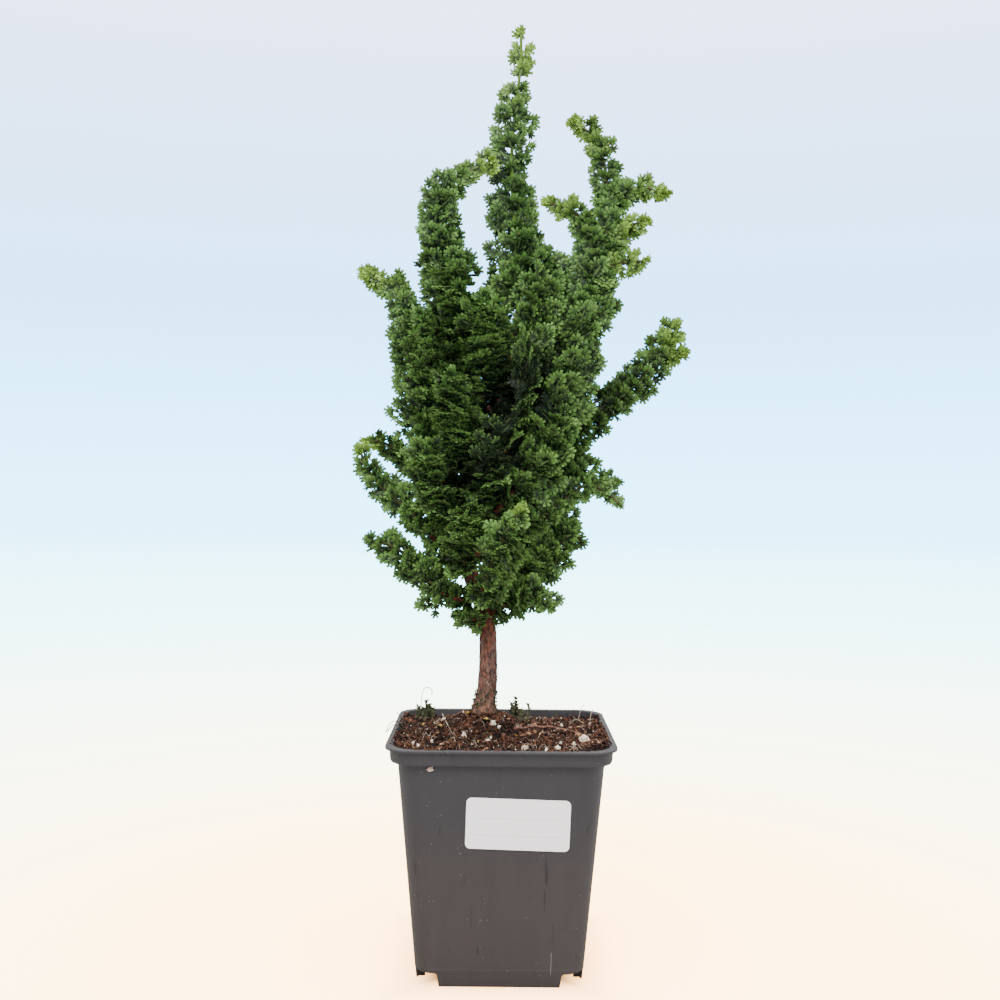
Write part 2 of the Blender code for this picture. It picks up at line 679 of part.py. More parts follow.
def limb_radius(limb):
    """Radius of a limb where it leaves the trunk: a long or forked limb is thicker."""
    stout = len(limb.routes) > 1 or line_length(curve_through(limb.routes[0])) > LONG_LIMB
    return STOUT_LIMB if stout else THIN_LIMB


def make_wood(limbs, trunk_line):
    """The trunk and the bare feet of its limbs, which grew as one piece."""
    points = even_points(trunk_line, 0.0, line_length(trunk_line), 0.012)
    points.insert(2, Vector((TRUNK_X, TRUNK_Y, 0.1005)))
    points.sort(key=lambda point: point.z)
    wood = tube("trunk_and_limbs", points, [trunk_radius(p.z) for p in points], 3)
    CUTTERS.objects.unlink(wood)
    PARTS.objects.link(wood)
    pieces = []
    for limb in limbs:
        if not limb.bare:
            continue
        line = curve_through(limb.routes[0])
        points = even_points(line, 0.0, limb_bare(limb), LIMB_STEP)
        thick = limb_radius(limb)
        last = len(points) - 1
        pieces.append(tube("limb", points, [mix((thick, STEM_RADIUS), i / last) for i in range(last + 1)]))
    fuse(wood, pieces)
    wood.data.materials.clear()
    wood.data.materials.append(material("bark"))
    return wood


def limb_bare(limb):
    """Length of the limb that is trunk wood: at least out through the trunk's own bark."""
    return max(limb.bare, trunk_radius(limb.routes[0][0][2]) + 0.003)


# Foliage


def fan(bm, spray, swell=1.0):
    """Adds a cupped fan: a flat ball of one ring, which is drawn out into fingers and clefts.

    Returns its vertices: the ring, starting from the foot, then the lower and the upper pole.
    """
    rng = random.Random(spray.seed)
    normal = spray.along.cross(spray.across).normalized()
    sides = 2 * FINGERS
    made = bmesh.ops.create_uvsphere(bm, u_segments=sides, v_segments=2, radius=1.0)["verts"]
    poles = [v for v in made if abs(v.co.z) > 0.5]
    ring = sorted((v for v in made if v not in poles), key=lambda v: math.atan2(v.co.y, v.co.x))
    cup = rng.uniform(*FAN_CUP)
    for step, vert in enumerate(ring):
        aside = 2 * (step - 1) / (sides - 2) - 1
        finger = step % 2 == 1
        out = spray.length * (1.0 - SHOULDER_DROP * aside ** 2)
        out *= rng.uniform(0.93, 1.07) if finger else CLEFT
        curl = cup if finger else 0.3 * cup
        place = Vector((out * math.cos(FAN_SPREAD * aside),
                        out * math.sin(FAN_SPREAD * aside) * SPRAY_WIDTH,
                        curl * spray.length * (0.4 + aside ** 2)))
        if step == 0:
            place = Vector((0.0, 0.0, 0.0))
        flat = spray.along * place.x + spray.across * place.y
        vert.co = spray.foot + flat * swell + normal * place.z
    for pole in poles:
        rise = math.copysign(SPRAY_THICK * swell ** 4 / 2, pole.co.z) + 0.04 * spray.length
        pole.co = spray.foot + spray.along * (FAN_MIDDLE * spray.length) + normal * rise
    return ring + sorted(poles, key=lambda v: normal.dot(v.co))


def tree_of_fan(spray, swell):
    bm = bmesh.new()
    fan(bm, spray, swell)
    tree = BVHTree.FromBMesh(bm)
    bm.free()
    return tree


def tree_of_object(obj):
    return BVHTree.FromPolygons([v.co.copy() for v in obj.data.vertices],
                                [tuple(p.vertices) for p in obj.data.polygons])


def stations(low, high, reach):
    """Distances along a stem at which its pairs of sprays leave it."""
    places = []
    distance = low + 0.0015 + NODE_HALF
    while distance < high - 2 * NODE_HALF:
        places.append(distance)
        distance += max(CLOSEST_PAIRS, PAIR_SPACING * step_value(reach, distance / high))
    return places


def leafy_stem(name, line, low, reach, start_radius):
    """A square stem along the line, with a short length at each station that a pair of sprays grows from."""
    high = line_length(line)
    marks = [low, *(d + way * NODE_HALF for d in stations(low, high, reach) for way in (-1, 1)), high]
    radii = [max(TIP_RADIUS, CORE_SHARE * step_value(reach, mark / high)) for mark in marks]
    radii[0] = start_radius
    radii[-1] = TIP_RADIUS
    return tube(name, [point_at(line, mark)[0] for mark in marks], radii, 0)


def turn_about(way, direction):
    """The angle of a direction round a stem."""
    side = way.orthogonal()
    return math.atan2(way.cross(side).dot(direction), side.dot(direction))


def spray_axes(way, out, nudge, rng):
    """The directions along and across a spray that leans out from its stem, or that ends it."""
    if out is None:
        return way.copy(), Matrix.Rotation(nudge, 3, way) @ way.orthogonal().normalized()
    out = Matrix.Rotation(nudge, 3, way) @ out
    lean = SPRAY_LEAN + rng.uniform(-0.15, 0.20)
    along = (way * math.cos(lean) + out * math.sin(lean) + Vector((0, 0, 0.12))).normalized()
    around = way.cross(out)
    around = (around - along * around.dot(along)).normalized()
    return along, Matrix.Rotation(rng.uniform(-0.3, 0.3), 3, along) @ around


def grown(stem, port, spray, blockers):
    """A copy of the stem's mesh with a spray lofted from a numbered face, or None where it would cross."""
    bm = stem.copy()
    number = bm.faces.layers.int["port"]
    face = next(f for f in bm.faces if f[number] == port)
    corners = list(face.verts)
    middle = face.calc_center_median()
    verts = fan(bm, spray)
    opening = (verts[-3], verts[-1], verts[1], verts[-2])
    across = (opening[0].co - opening[2].co).normalized()
    upwards = spray.along.cross(across)
    corners.sort(key=lambda v: math.atan2(upwards.dot(v.co - middle), across.dot(v.co - middle)) % math.tau)
    bmesh.ops.delete(bm, geom=[face], context="FACES_ONLY")
    bmesh.ops.delete(bm, geom=[verts[0]], context="VERTS")
    for index in range(4):
        bm.faces.new((corners[index], opening[(index + 1) % 4], opening[index]))
        bm.faces.new((corners[index - 1], corners[index], opening[index]))
    fresh = list({f for v in verts[1:] for f in v.link_faces})
    points = [v.co for f in fresh for v in f.verts]
    spots = BVHTree.FromPolygons(points, [(3 * i, 3 * i + 1, 3 * i + 2) for i in range(len(fresh))])
    bm.faces.ensure_lookup_table()
    crossings = spots.overlap(BVHTree.FromBMesh(bm))
    apart = all(set(fresh[one].verts) & set(bm.faces[other].verts) for one, other in crossings)
    if apart and not any(spots.overlap(tree) for tree in blockers):
        return bm
    bm.free()
    return None


def fit_spray(stem, place, seed, blockers):
    """The stem with the largest spray that fits at this place clear of everything, or as it was."""
    port, foot, way, out, reach = place
    for size in (1.0, 0.85, 0.70):
        for nudge in (0.0, 0.25, -0.25, 0.5, -0.5):
            along, across = spray_axes(way, out, nudge, random.Random(seed))
            length = reach * size * (END_SPRAY if out is None else (1 - CORE_SHARE) / math.sin(SPRAY_LEAN))
            spray = Spray(foot, along, across, length, seed)
            shadow = tree_of_fan(spray, 1.07)
            if any(shadow.overlap(tree) for tree in blockers):
                continue
            bigger = grown(stem, port, spray, blockers)
            if bigger:
                stem.free()
                return bigger
    return stem


def grow_sprays(stem, line, low, reach, seed, blockers):
    """Grows a stem's pairs of sprays, each pair a quarter turn from the last, and the one at its end."""
    high = line_length(line)
    bm = bmesh.new()
    bm.from_mesh(stem.data)
    caps = [f for f in bm.faces if len(f.verts) == 3]
    bmesh.ops.join_triangles(bm, faces=caps, angle_face_threshold=math.pi, angle_shape_threshold=math.pi)
    number = bm.faces.layers.int.new("port")
    faces = list(bm.faces)
    for index, face in enumerate(faces, 1):
        face[number] = index
    places = []
    for index, distance in enumerate(stations(low, high, reach)):
        middle, way = point_at(line, distance)
        here = step_value(reach, distance / high)
        around = sorted(faces, key=lambda f: (f.calc_center_median() - middle).length)[:4]
        around.sort(key=lambda f: turn_about(way, f.normal))
        for face in around[index % 2::2]:
            out = (face.normal - way * face.normal.dot(way)).normalized()
            places.append((face[number], face.calc_center_median(), way, out, here))
    end, way = point_at(line, high)
    cap = min(faces, key=lambda f: (f.calc_center_median() - end).length)
    places.append((cap[number], end, way, None, reach[-1][1]))
    for index, place in enumerate(places):
        bm = fit_spray(bm, place, seed * 100 + index, blockers)
    bmesh.ops.triangulate(bm, faces=list(bm.faces))
    bmesh.ops.recalc_face_normals(bm, faces=list(bm.faces))
    bm.to_mesh(stem.data)
    bm.free()


def make_foliage(limbs, solid_trees):
    """Each limb's leafy stem with its sprays, kept clear of the wood and of every other leafy stem."""
    stems = {}
    for limb in limbs:
        stems[limb.name] = []
        for index, route in enumerate(limb.routes):
            line = curve_through(route)
            first = index == 0
            low = GAP + (limb_bare(limb) if limb.bare else 0.0) if first else 0.0
            reach = limb.reach if first else SIDE_REACH
            stem = leafy_stem(limb.name if first else "side_stem", line, low, reach, STEM_RADIUS)
            stems[limb.name].append((stem, line, low, reach))
    trees = {name: [tree_of_object(item[0]) for item in items] for name, items in stems.items()}
    for number, limb in enumerate(limbs):
        others = [tree for name, found in trees.items() if name != limb.name for tree in found]
        grown_here = []
        for branch, (stem, line, low, reach) in enumerate(stems[limb.name]):
            seed = SEED + 79 * number + 7 * branch
            grow_sprays(stem, line, low, reach, seed, solid_trees + others + grown_here)
            grown_here.append(tree_of_object(stem))
        trees[limb.name] = grown_here
        base = stems[limb.name][0][0]
        CUTTERS.objects.unlink(base)
        PARTS.objects.link(base)
        if len(limb.routes) > 1:
            fuse(base, [item[0] for item in stems[limb.name][1:]])
        base.data.materials.clear()
        base.data.materials.append(material("young_foliage" if limb.name == "leader" else "foliage"))


def centre_on_footprint():
    """Sets the whole plant over the origin by the middle of its box, standing on z = 0."""
    bpy.context.view_layer.update()
    graph = bpy.context.evaluated_depsgraph_get()
    corners = []
    for obj in PARTS.objects:
        evaluated = obj.evaluated_get(graph)
        corners += [evaluated.matrix_world @ v.co for v in evaluated.data.vertices]
    middle = [(min(c[i] for c in corners) + max(c[i] for c in corners)) / 2 for i in (0, 1)]
    whole = bpy.data.objects.new("whole_plant", None)
    PARTS.objects.link(whole)
    for obj in list(PARTS.objects) + list(CUTTERS.objects):
        if obj is not whole:
            obj.parent = whole
    whole.location = (-middle[0], -middle[1], 0.0)


def main():
    pot = make_pot()
    make_label()
    soil = make_soil()
    make_grains(soil)
    make_stalks(soil)
    bake(soil)
    make_surface_roots(tree_of_object(soil))
    trunk_line = curve_through(TRUNK_ROUTE)
    arms = [LEADER, *ARMS]
    limbs = arms + keep_clear(crown_limbs(trunk_line), arms)
    wood = make_wood(limbs, trunk_line)
    make_foliage(limbs, [tree_of_object(obj) for obj in (pot, soil, wood)])
    centre_on_footprint()


main()
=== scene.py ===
"""Looks of a hinoki cypress bonsai in its square nursery pot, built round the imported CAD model.

Metres, +Z up, in the CAD model's own frame. The plant stands on z = 0 and +Y is away from the label.
"""

import math
import random
from collections import namedtuple
from contextlib import contextmanager

import bmesh
import bpy
import numpy as np
from mathutils import Matrix, Vector, noise


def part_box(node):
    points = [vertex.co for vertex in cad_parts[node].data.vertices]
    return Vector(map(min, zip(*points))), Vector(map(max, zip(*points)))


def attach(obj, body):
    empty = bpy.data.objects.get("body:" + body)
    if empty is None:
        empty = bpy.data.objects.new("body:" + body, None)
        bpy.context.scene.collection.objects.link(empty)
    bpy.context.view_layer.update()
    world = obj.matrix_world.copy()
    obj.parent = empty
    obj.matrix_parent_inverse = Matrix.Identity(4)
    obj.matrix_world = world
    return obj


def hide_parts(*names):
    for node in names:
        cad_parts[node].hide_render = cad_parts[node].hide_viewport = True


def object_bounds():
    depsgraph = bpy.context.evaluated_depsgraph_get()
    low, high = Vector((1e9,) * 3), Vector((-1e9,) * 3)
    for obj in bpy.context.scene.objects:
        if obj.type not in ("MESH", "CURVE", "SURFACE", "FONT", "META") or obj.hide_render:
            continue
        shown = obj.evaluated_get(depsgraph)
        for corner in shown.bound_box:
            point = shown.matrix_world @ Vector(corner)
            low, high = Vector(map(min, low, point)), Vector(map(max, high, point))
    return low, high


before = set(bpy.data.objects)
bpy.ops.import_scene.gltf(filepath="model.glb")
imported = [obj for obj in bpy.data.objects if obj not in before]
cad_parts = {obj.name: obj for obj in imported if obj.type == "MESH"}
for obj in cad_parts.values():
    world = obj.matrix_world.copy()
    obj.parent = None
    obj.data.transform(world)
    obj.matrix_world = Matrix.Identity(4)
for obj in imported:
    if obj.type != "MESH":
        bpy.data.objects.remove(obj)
cad_box = [list(corner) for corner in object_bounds()]


# Pot
# A square nursery pot, moulded in one shot from dark recycled plastic. Its thin walls lean out to a collar
# and lip. Its raised floor has drain holes and stands on four skirts, whose ends turn in at the notched
# corners.


def maths(operation, swapped=False):
    """A method of Wire that joins it with another value in a Math node."""
    def method(wire, other=0.0):
        pair = (other, wire) if swapped else (wire, other)
        return wire.finish.node("Math", {"operation": operation}, dict(enumerate(pair)))
    return method


class Wire:
    """A value on its way to a shader socket. Arithmetic on it adds Math nodes."""

    def __init__(self, finish, socket):
        self.finish = finish
        self.socket = socket

    __add__ = __radd__ = maths("ADD")
    __mul__ = __rmul__ = maths("MULTIPLY")
    __sub__ = maths("SUBTRACT")
    __rsub__ = maths("SUBTRACT", swapped=True)
    __abs__ = maths("ABSOLUTE")


class Finish:
    """A material being made. One method adds any kind of node to it."""

    def __init__(self, name):
        self.material = bpy.data.materials.new(name)
        self.material.use_nodes = True
        self.shader = self.material.node_tree.nodes["Principled BSDF"]
        self.place = self.node("TexCoord", output="Object")

    def feed(self, socket, value):
        if isinstance(value, Wire):
            self.material.node_tree.links.new(value.socket, socket)
        elif socket.type == "RGBA":
            socket.default_value = (*value, 1.0)
        else:
            socket.default_value = value

    def node(self, kind, settings=None, sockets=None, output=0):
        made = self.material.node_tree.nodes.new("ShaderNode" + kind)
        for name, value in (settings or {}).items():
            setattr(made, name, value)
        for name, value in (sockets or {}).items():
            self.feed(made.inputs[name], value)
        return Wire(self, made.outputs[output])

    def axis(self, letter):
        return self.node("SeparateXYZ", {}, {0: self.place}, letter)

    def stretched(self, z):
        """The place with its Z scaled, which draws patches out upwards where z is under 1."""
        return self.node("Mapping", {}, {"Vector": self.place, "Scale": (1.0, 1.0, z)})

    def clouds(self, scale, detail=3.0, place=None, roughness=0.55):
        """Noise from 0 to 1. Scale is in patches a metre."""
        sockets = {"Vector": place or self.place, "Scale": scale, "Detail": detail, "Roughness": roughness}
        return self.node("TexNoise", {}, sockets)

    def cells(self, scale, feature="F1"):
        """Distance to the middle of scattered cells, or to their edges."""
        return self.node("TexVoronoi", {"feature": feature}, {"Vector": self.place, "Scale": scale})

    def between(self, value, low, high):
        """A mask that rises smoothly from 0 at the low value to 1 at the high one."""
        sockets = {"Value": value, "From Min": low, "From Max": high}
        return self.node("MapRange", {"interpolation_type": "SMOOTHSTEP"}, sockets)

    def blend(self, mask, first, second):
        """A colour that goes from the first to the second with the mask."""
        return self.node("Mix", {"data_type": "RGBA"}, {0: mask, 6: first, 7: second}, 2)

    def layers(self, colour, *coats):
        """A colour under coats of others. A coat is a mask and the colour that shows where it is 1."""
        for mask, coat in coats:
            colour = self.blend(mask, colour, coat)
        return colour

    def shade(self, colour, roughness, specular, relief=None):
        """The material, its shader set. Relief is the height, the distance and the strength of a bump."""
        sockets = {"Base Color": colour, "Roughness": roughness, "Specular IOR Level": specular}
        if relief:
            sockets["Normal"] = self.node("Bump", {}, dict(zip(("Height", "Distance", "Strength"), relief)))
        for name, value in sockets.items():
            self.feed(self.shader.inputs[name], value)
        return self.material


def start_fresh():
    """Object mode with nothing selected."""
    if bpy.context.object and bpy.context.object.mode != "OBJECT":
        bpy.ops.object.mode_set(mode="OBJECT")
    bpy.ops.object.select_all(action="DESELECT")


def new_piece(name, add, **settings):
    """A piece made by one of Blender's operators that add a mesh, its place set into its points."""
    start_fresh()
    add(**settings)
    piece = bpy.context.object
    piece.name = name
    piece.data.name = name
    bpy.ops.object.transform_apply(location=True, rotation=True, scale=True)
    return piece


@contextmanager
def edit_mode():
    bpy.ops.object.mode_set(mode="EDIT")
    yield
    bpy.ops.object.mode_set(mode="OBJECT")


def linked(name, data):
    """A new object in the scene, the only one selected."""
    made = bpy.data.objects.new(name, data)
    bpy.context.scene.collection.objects.link(made)
    start_fresh()
    made.select_set(True)
    bpy.context.view_layer.objects.active = made
    return made


def select_by(piece, kind, wanted):
    """In edit mode, selects the piece's verts, edges or faces that pass a test."""
    bpy.ops.mesh.select_mode(type=kind[:-1].upper())
    bpy.ops.mesh.select_all(action="DESELECT")
    mesh = bmesh.from_edit_mesh(piece.data)
    for part in getattr(mesh, kind):
        part.select_set(wanted(part))
    bmesh.update_edit_mesh(piece.data)


def apply_modifier(piece, kind, **settings):
    modifier = piece.modifiers.new(kind.lower(), kind)
    for name, value in settings.items():
        setattr(modifier, name, value)
    bpy.context.view_layer.objects.active = piece
    bpy.ops.object.modifier_apply(modifier=modifier.name)


def finished(piece, finish, nodes=()):
    """Gives the piece its material and its place in the model."""
    piece.data.materials.clear()
    piece.data.materials.append(finish)
    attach(piece, "root")
    if nodes:
        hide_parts(*nodes)
    return piece


pot_low, pot_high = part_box("pot")
POT_X = (pot_low.x + pot_high.x) / 2
POT_Y = (pot_low.y + pot_high.y) / 2
POT_HEIGHT = pot_high.z
POT_WALL = 0.001
WALL_LEAN = 0.0866
FOOT_HALF = 0.0328
LIP_HALF = (pot_high.x - pot_low.x) / 2
LIP_CORNER = 0.0112
LIP_LOW = POT_HEIGHT - 0.0010
ROUNDED = 0.00022
COLLAR_HALF = 0.0432
COLLAR_LOW = 0.0878
FLOOR_UNDER = 0.0056
SKIRT_HALF = 0.0243
SKIRT_SLANT = 0.0011
NOTCH_HEIGHT = 0.0053
NOTCH_REACH = 0.015
NOTCH_ROUND = 0.0009
NOTCH_BELOW = 0.002
WALL_STEP = NOTCH_HEIGHT + 0.0012
WEB_OUTER = 0.0324
WEB_INNER = 0.0293
WEB_ASIDE = 0.0228
WEB_UNDER = 0.0004
DRAIN_RADIUS = 0.0035
DRAIN_DEPTH = 0.006
DRAIN_SPREAD = 0.0170
MOULD_LINE = 0.0070
SCRATCH_X = POT_X + 0.0197
SCRATCH_MIDDLE = 0.0095
SCRATCH_SLOPE = 0.03


def wall_half(height):
    """Half the pot's outer width at a height up its wall."""
    return FOOT_HALF + WALL_LEAN * height


def draw_profile(profile):
    """Extrudes the selected outline through the (height, half width) steps of a profile."""
    for (low, first), (high, second) in zip(profile, profile[1:]):
        bpy.ops.mesh.extrude_region_move(TRANSFORM_OT_translate={"value": (0, 0, high - low)})
        share = second / first
        bpy.ops.transform.resize(value=(share, share, 1), center_override=(POT_X, POT_Y, high))


pot = new_piece("nursery_pot", bpy.ops.mesh.primitive_plane_add, size=2 * LIP_HALF,
                location=(POT_X, POT_Y, POT_HEIGHT))
with edit_mode():
    bpy.ops.mesh.bevel(offset=LIP_CORNER, segments=9, affect="VERTICES")
    bpy.ops.mesh.select_all(action="SELECT")
    draw_profile([(POT_HEIGHT, LIP_HALF), (LIP_LOW, LIP_HALF), (LIP_LOW, COLLAR_HALF + 0.0002),
                  (COLLAR_LOW + 0.0010, COLLAR_HALF), (COLLAR_LOW, COLLAR_HALF - 0.0004),
                  (COLLAR_LOW, wall_half(COLLAR_LOW)), (WALL_STEP, wall_half(WALL_STEP)),
                  (0.0, wall_half(0)), (0.0, wall_half(0) - POT_WALL),
                  (FLOOR_UNDER, wall_half(FLOOR_UNDER) - POT_WALL)])
    select_by(pot, "faces", lambda f: f.calc_center_median().z > POT_HEIGHT - 1e-5 and len(f.verts) > 8)
    draw_profile([(POT_HEIGHT, LIP_HALF), (POT_HEIGHT, COLLAR_HALF - POT_WALL),
                  (COLLAR_LOW + POT_WALL, COLLAR_HALF - POT_WALL - 0.0002),
                  (COLLAR_LOW + POT_WALL, wall_half(COLLAR_LOW) - POT_WALL),
                  (FLOOR_UNDER + POT_WALL, wall_half(FLOOR_UNDER) - POT_WALL)])

# The corners' notches and the floor's drain holes are cut out, and the skirts' in-turned ends joined on.
cutters = []
for side_x in (-1, 1):
    for side_y in (-1, 1):
        out = SKIRT_HALF + NOTCH_REACH
        place = (POT_X + side_x * out, POT_Y + side_y * out, (NOTCH_HEIGHT - NOTCH_BELOW) / 2)
        half = (NOTCH_REACH, NOTCH_REACH, (NOTCH_HEIGHT + NOTCH_BELOW) / 2)
        notch = new_piece("notch", bpy.ops.mesh.primitive_cube_add, size=2, location=place, scale=half)
        with edit_mode():
            select_by(notch, "faces", lambda f: f.normal.z < -0.9)
            spread = 1 + SKIRT_SLANT / NOTCH_REACH
            bpy.ops.transform.resize(value=(spread, spread, 1))
            select_by(notch, "edges", lambda e: min(v.co.z for v in e.verts) > 0)
            bpy.ops.mesh.bevel(offset=NOTCH_ROUND, segments=3)
        cutters.append(notch)
for drain_x, drain_y in ((0, 0), (-1, -1), (-1, 1), (1, -1), (1, 1)):
    place = (POT_X + drain_x * DRAIN_SPREAD, POT_Y + drain_y * DRAIN_SPREAD, FLOOR_UNDER + POT_WALL / 2)
    cutters.append(new_piece("drain", bpy.ops.mesh.primitive_cylinder_add, vertices=24,
                             radius=DRAIN_RADIUS, depth=DRAIN_DEPTH, location=place))
for cutter in cutters:
    start_fresh()
    apply_modifier(pot, "BOOLEAN", operation="DIFFERENCE", object=cutter)
    bpy.data.objects.remove(cutter)
web_height = FLOOR_UNDER + POT_WALL / 2 - WEB_UNDER
web_size = (WEB_OUTER - WEB_INNER, POT_WALL, web_height)
for turn in (0, math.pi / 2, math.pi, 1.5 * math.pi):
    for side in (-1, 1):
        middle = Vector(((WEB_OUTER + WEB_INNER) / 2, side * WEB_ASIDE, WEB_UNDER + web_height / 2))
        place = Vector((POT_X, POT_Y, 0)) + Matrix.Rotation(turn, 3, "Z") @ middle
        web = new_piece("web", bpy.ops.mesh.primitive_cube_add, size=1, scale=web_size,
                        rotation=(0, 0, turn), location=place)
        apply_modifier(pot, "BOOLEAN", operation="UNION", object=web)
        bpy.data.objects.remove(web)
apply_modifier(pot, "BEVEL", width=ROUNDED, segments=2, limit_method="ANGLE", angle_limit=math.radians(50))
start_fresh()
pot.select_set(True)
bpy.ops.object.shade_smooth_by_angle(angle=math.radians(35))

plastic = Finish("recycled_plastic")
flow = plastic.clouds(150, 4, plastic.stretched(0.06))
blotches = plastic.clouds(45, 4)
grain = plastic.clouds(2600, 2)
streaks = plastic.between(plastic.clouds(620, 2, plastic.stretched(0.06)), 0.65, 0.70)
streaks = streaks * plastic.between(plastic.clouds(40, 2), 0.44, 0.60)
speck_gate = plastic.between(plastic.clouds(160, 1), 0.54, 0.60)
specks = plastic.between(plastic.cells(620), 0.075, 0.045) * speck_gate
height = plastic.axis("Z")
mould_line = plastic.between(abs(height - MOULD_LINE), 0.00030, 0.00010)
scratch = plastic.between(abs(plastic.axis("X") - SCRATCH_X - SCRATCH_SLOPE * height), 0.00016, 0.00008)
scratch = scratch * plastic.between(abs(height - SCRATCH_MIDDLE), 0.0050, 0.0038)
# Painted highlight: a lighter band along the top edge of the lip.
painted_rim_highlight = plastic.between(height, POT_HEIGHT - 0.0005, POT_HEIGHT)
mottle = flow * 0.55 + blotches * 0.45
# Painted light: one plastic in two tones, lighter and warmer low on the wall where the floor lights it,
# cooler and darker higher up.
low_wall = plastic.blend(mottle, (0.031, 0.0255, 0.0245), (0.048, 0.0390, 0.0375))
high_wall = plastic.blend(mottle, (0.026, 0.025, 0.028), (0.038, 0.036, 0.041))
# The streaks, mould line, scratch and specks are the plastic's own. The tint by height and the rim band are
# painted light.
worn_with_painted_light = plastic.layers(low_wall, (plastic.between(height, 0.030, 0.080), high_wall),
                      (streaks * 0.60, (0.012, 0.011, 0.011)), (mould_line * 0.18, (0.075, 0.070, 0.069)),
                      (painted_rim_highlight * 0.5, (0.075, 0.070, 0.072)), (scratch * 0.6, (0.20, 0.19, 0.185)),
                      (specks * 0.8, (0.55, 0.50, 0.44)))
plastic.shade(worn_with_painted_light, 0.40 + blotches * 0.22, 0.28, (grain * 0.5 + flow, 0.00006, 0.6))
finished(pot, plastic.material, ["pot"])


# Label
# A white coated-paper sticker with rounded corners and two ruled lines to write on, pressed flat on the
# front wall a little askew.

LABEL_SIZE = (0.040, 0.020)
LABEL_THICK = 0.0004
LABEL_CORNER = 0.0020
LABEL_TILT = math.radians(1.5)
LABEL_EDGE = 0.00012
RULED = (0.0022, -0.0045)

label_low, label_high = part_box("label")
label_middle = (label_low + label_high) / 2
sheet_size = (LABEL_SIZE[0], LABEL_THICK, LABEL_SIZE[1])
label = new_piece("label_sticker", bpy.ops.mesh.primitive_cube_add, size=1, scale=sheet_size)
with edit_mode():
    select_by(label, "edges", lambda e: abs(e.verts[0].co.y - e.verts[1].co.y) > LABEL_THICK / 2)
    bpy.ops.mesh.bevel(offset=LABEL_CORNER, segments=8)
    select_by(label, "faces", lambda f: f.normal.y < -0.9)
    bpy.ops.mesh.inset(thickness=LABEL_EDGE)
label.rotation_euler = (math.atan(WALL_LEAN), LABEL_TILT, 0)
label.location = label_middle
bpy.ops.object.transform_apply(location=True, rotation=True, scale=True)
bpy.ops.object.shade_smooth_by_angle(angle=math.radians(30))

paper = Finish("coated_paper")
across = paper.axis("X") - label_middle.x
up = paper.axis("Z") - label_middle.z
level = up * math.cos(LABEL_TILT) + across * math.sin(LABEL_TILT)
inside = paper.between(abs(across), LABEL_SIZE[0] / 2 - 0.0030, LABEL_SIZE[0] / 2 - 0.0034)
rules = inside * sum(paper.between(abs(level - height), 0.00013, 0.00007) for height in RULED)
fibres = paper.clouds(900, 4)
sheet = paper.layers((0.93, 0.89, 0.89), (fibres, (0.97, 0.94, 0.94)), (rules * 0.45, (0.25, 0.26, 0.29)))
finished(label, paper.shade(sheet, 0.42 + fibres * 0.12, 0.4, (fibres, 0.00002, 0.5)), ["label"])


# Compost
# Fibrous peat that fills the pot: a dark lumpy bed, mounded at the trunk, under loose crumbs, curled
# rootlets, straw, dry stalks, old scale leaves and chips of bark, as it dries after watering.

SOIL_LEVEL = 0.0922
SOIL_DIP = 0.0016
EDGE_RISE = 0.0017
EDGE_START = 0.0300
MOUND_HEIGHT = 0.0080
MOUND_SPREAD = 0.0170
LUMP_HEIGHT = 0.0011
LUMP_SIZE = 0.0060
# The coarse and the fine crumb of the bed, each with its size, its place in the noise and its height.
CRUMB_RELIEF = ((0.0026, 0.3, 0.0011), (0.0011, 0.7, 0.0008))
TRUNK_X = -0.0073
TRUNK_Y = 0.0040
BED_HALF = COLLAR_HALF - POT_WALL - 0.0003
BED_CORNER = 0.0088
BED_CELLS = 150
BED_STEP = COLLAR_LOW + 0.0015
BED_STEP_HALF = 0.0390
BED_LOW = FLOOR_UNDER + POT_WALL + 0.0003
BED_LOW_HALF = 0.0321
TRUNK_CLEAR = 0.0060
EDGE_CLEAR = 0.0012
CRUMB_CLEAR = 0.0004
CRUMBS = 4200
CRUMB_SIZES = (0.00020, 0.00090)
LIP_CRUMBS = 520
LIP_CRUMB_SIZES = (0.00015, 0.00050)
LIP_CRUMB_PLACES = (0.0412, 0.0431)
FOOT_CRUMBS = 260
FOOT_CRUMB_SIZES = (0.0003, 0.0009)
FOOT_CRUMB_PLACES = (0.0052, 0.0085)
STRAND_CLEAR = 0.0020
STRAND_STEP = 0.0011
STRAND_RISE = (0.2, 1.0)
STRAND_BUMPS = 0.0001
STRAND_CURL = 0.315
STRAND_WANDER = 0.35
BARK_CHIPS = 46
CHIP_SIZES = (0.0006, 0.0013)
CHIP_SHAPE = np.array([1.5, 1.0, 0.35])
CHIP_CLEAR = 0.0030
SCALE_SHAPE = np.array([1.3, 1.0, 0.45])


def bed_height(x, y):
    """Height of the compost at a place about the pot's middle, before its fine crumb."""
    mound = MOUND_HEIGHT * math.exp(-((math.hypot(x - TRUNK_X, y - TRUNK_Y) / MOUND_SPREAD) ** 2))
    dip = SOIL_DIP * max(0.0, y / COLLAR_HALF) ** 2
    lumps = LUMP_HEIGHT * noise.noise(Vector((x, y, 0.0)) / LUMP_SIZE)
    edge = max(0.0, max(abs(x), -y) - EDGE_START) / (COLLAR_HALF - EDGE_START)
    return SOIL_LEVEL + mound - dip + lumps + EDGE_RISE * edge ** 2


def crumb_height(x, y):
    """The fine crumb that stands on the bed."""
    return sum(height * noise.noise(Vector((x, y, layer)) / size) for size, layer, height in CRUMB_RELIEF)


def resting(x, y, lift):
    """The place a lift above the compost's surface, from a place about the pot's middle."""
    return x + POT_X, y + POT_Y, bed_height(x, y) + crumb_height(x, y) + lift


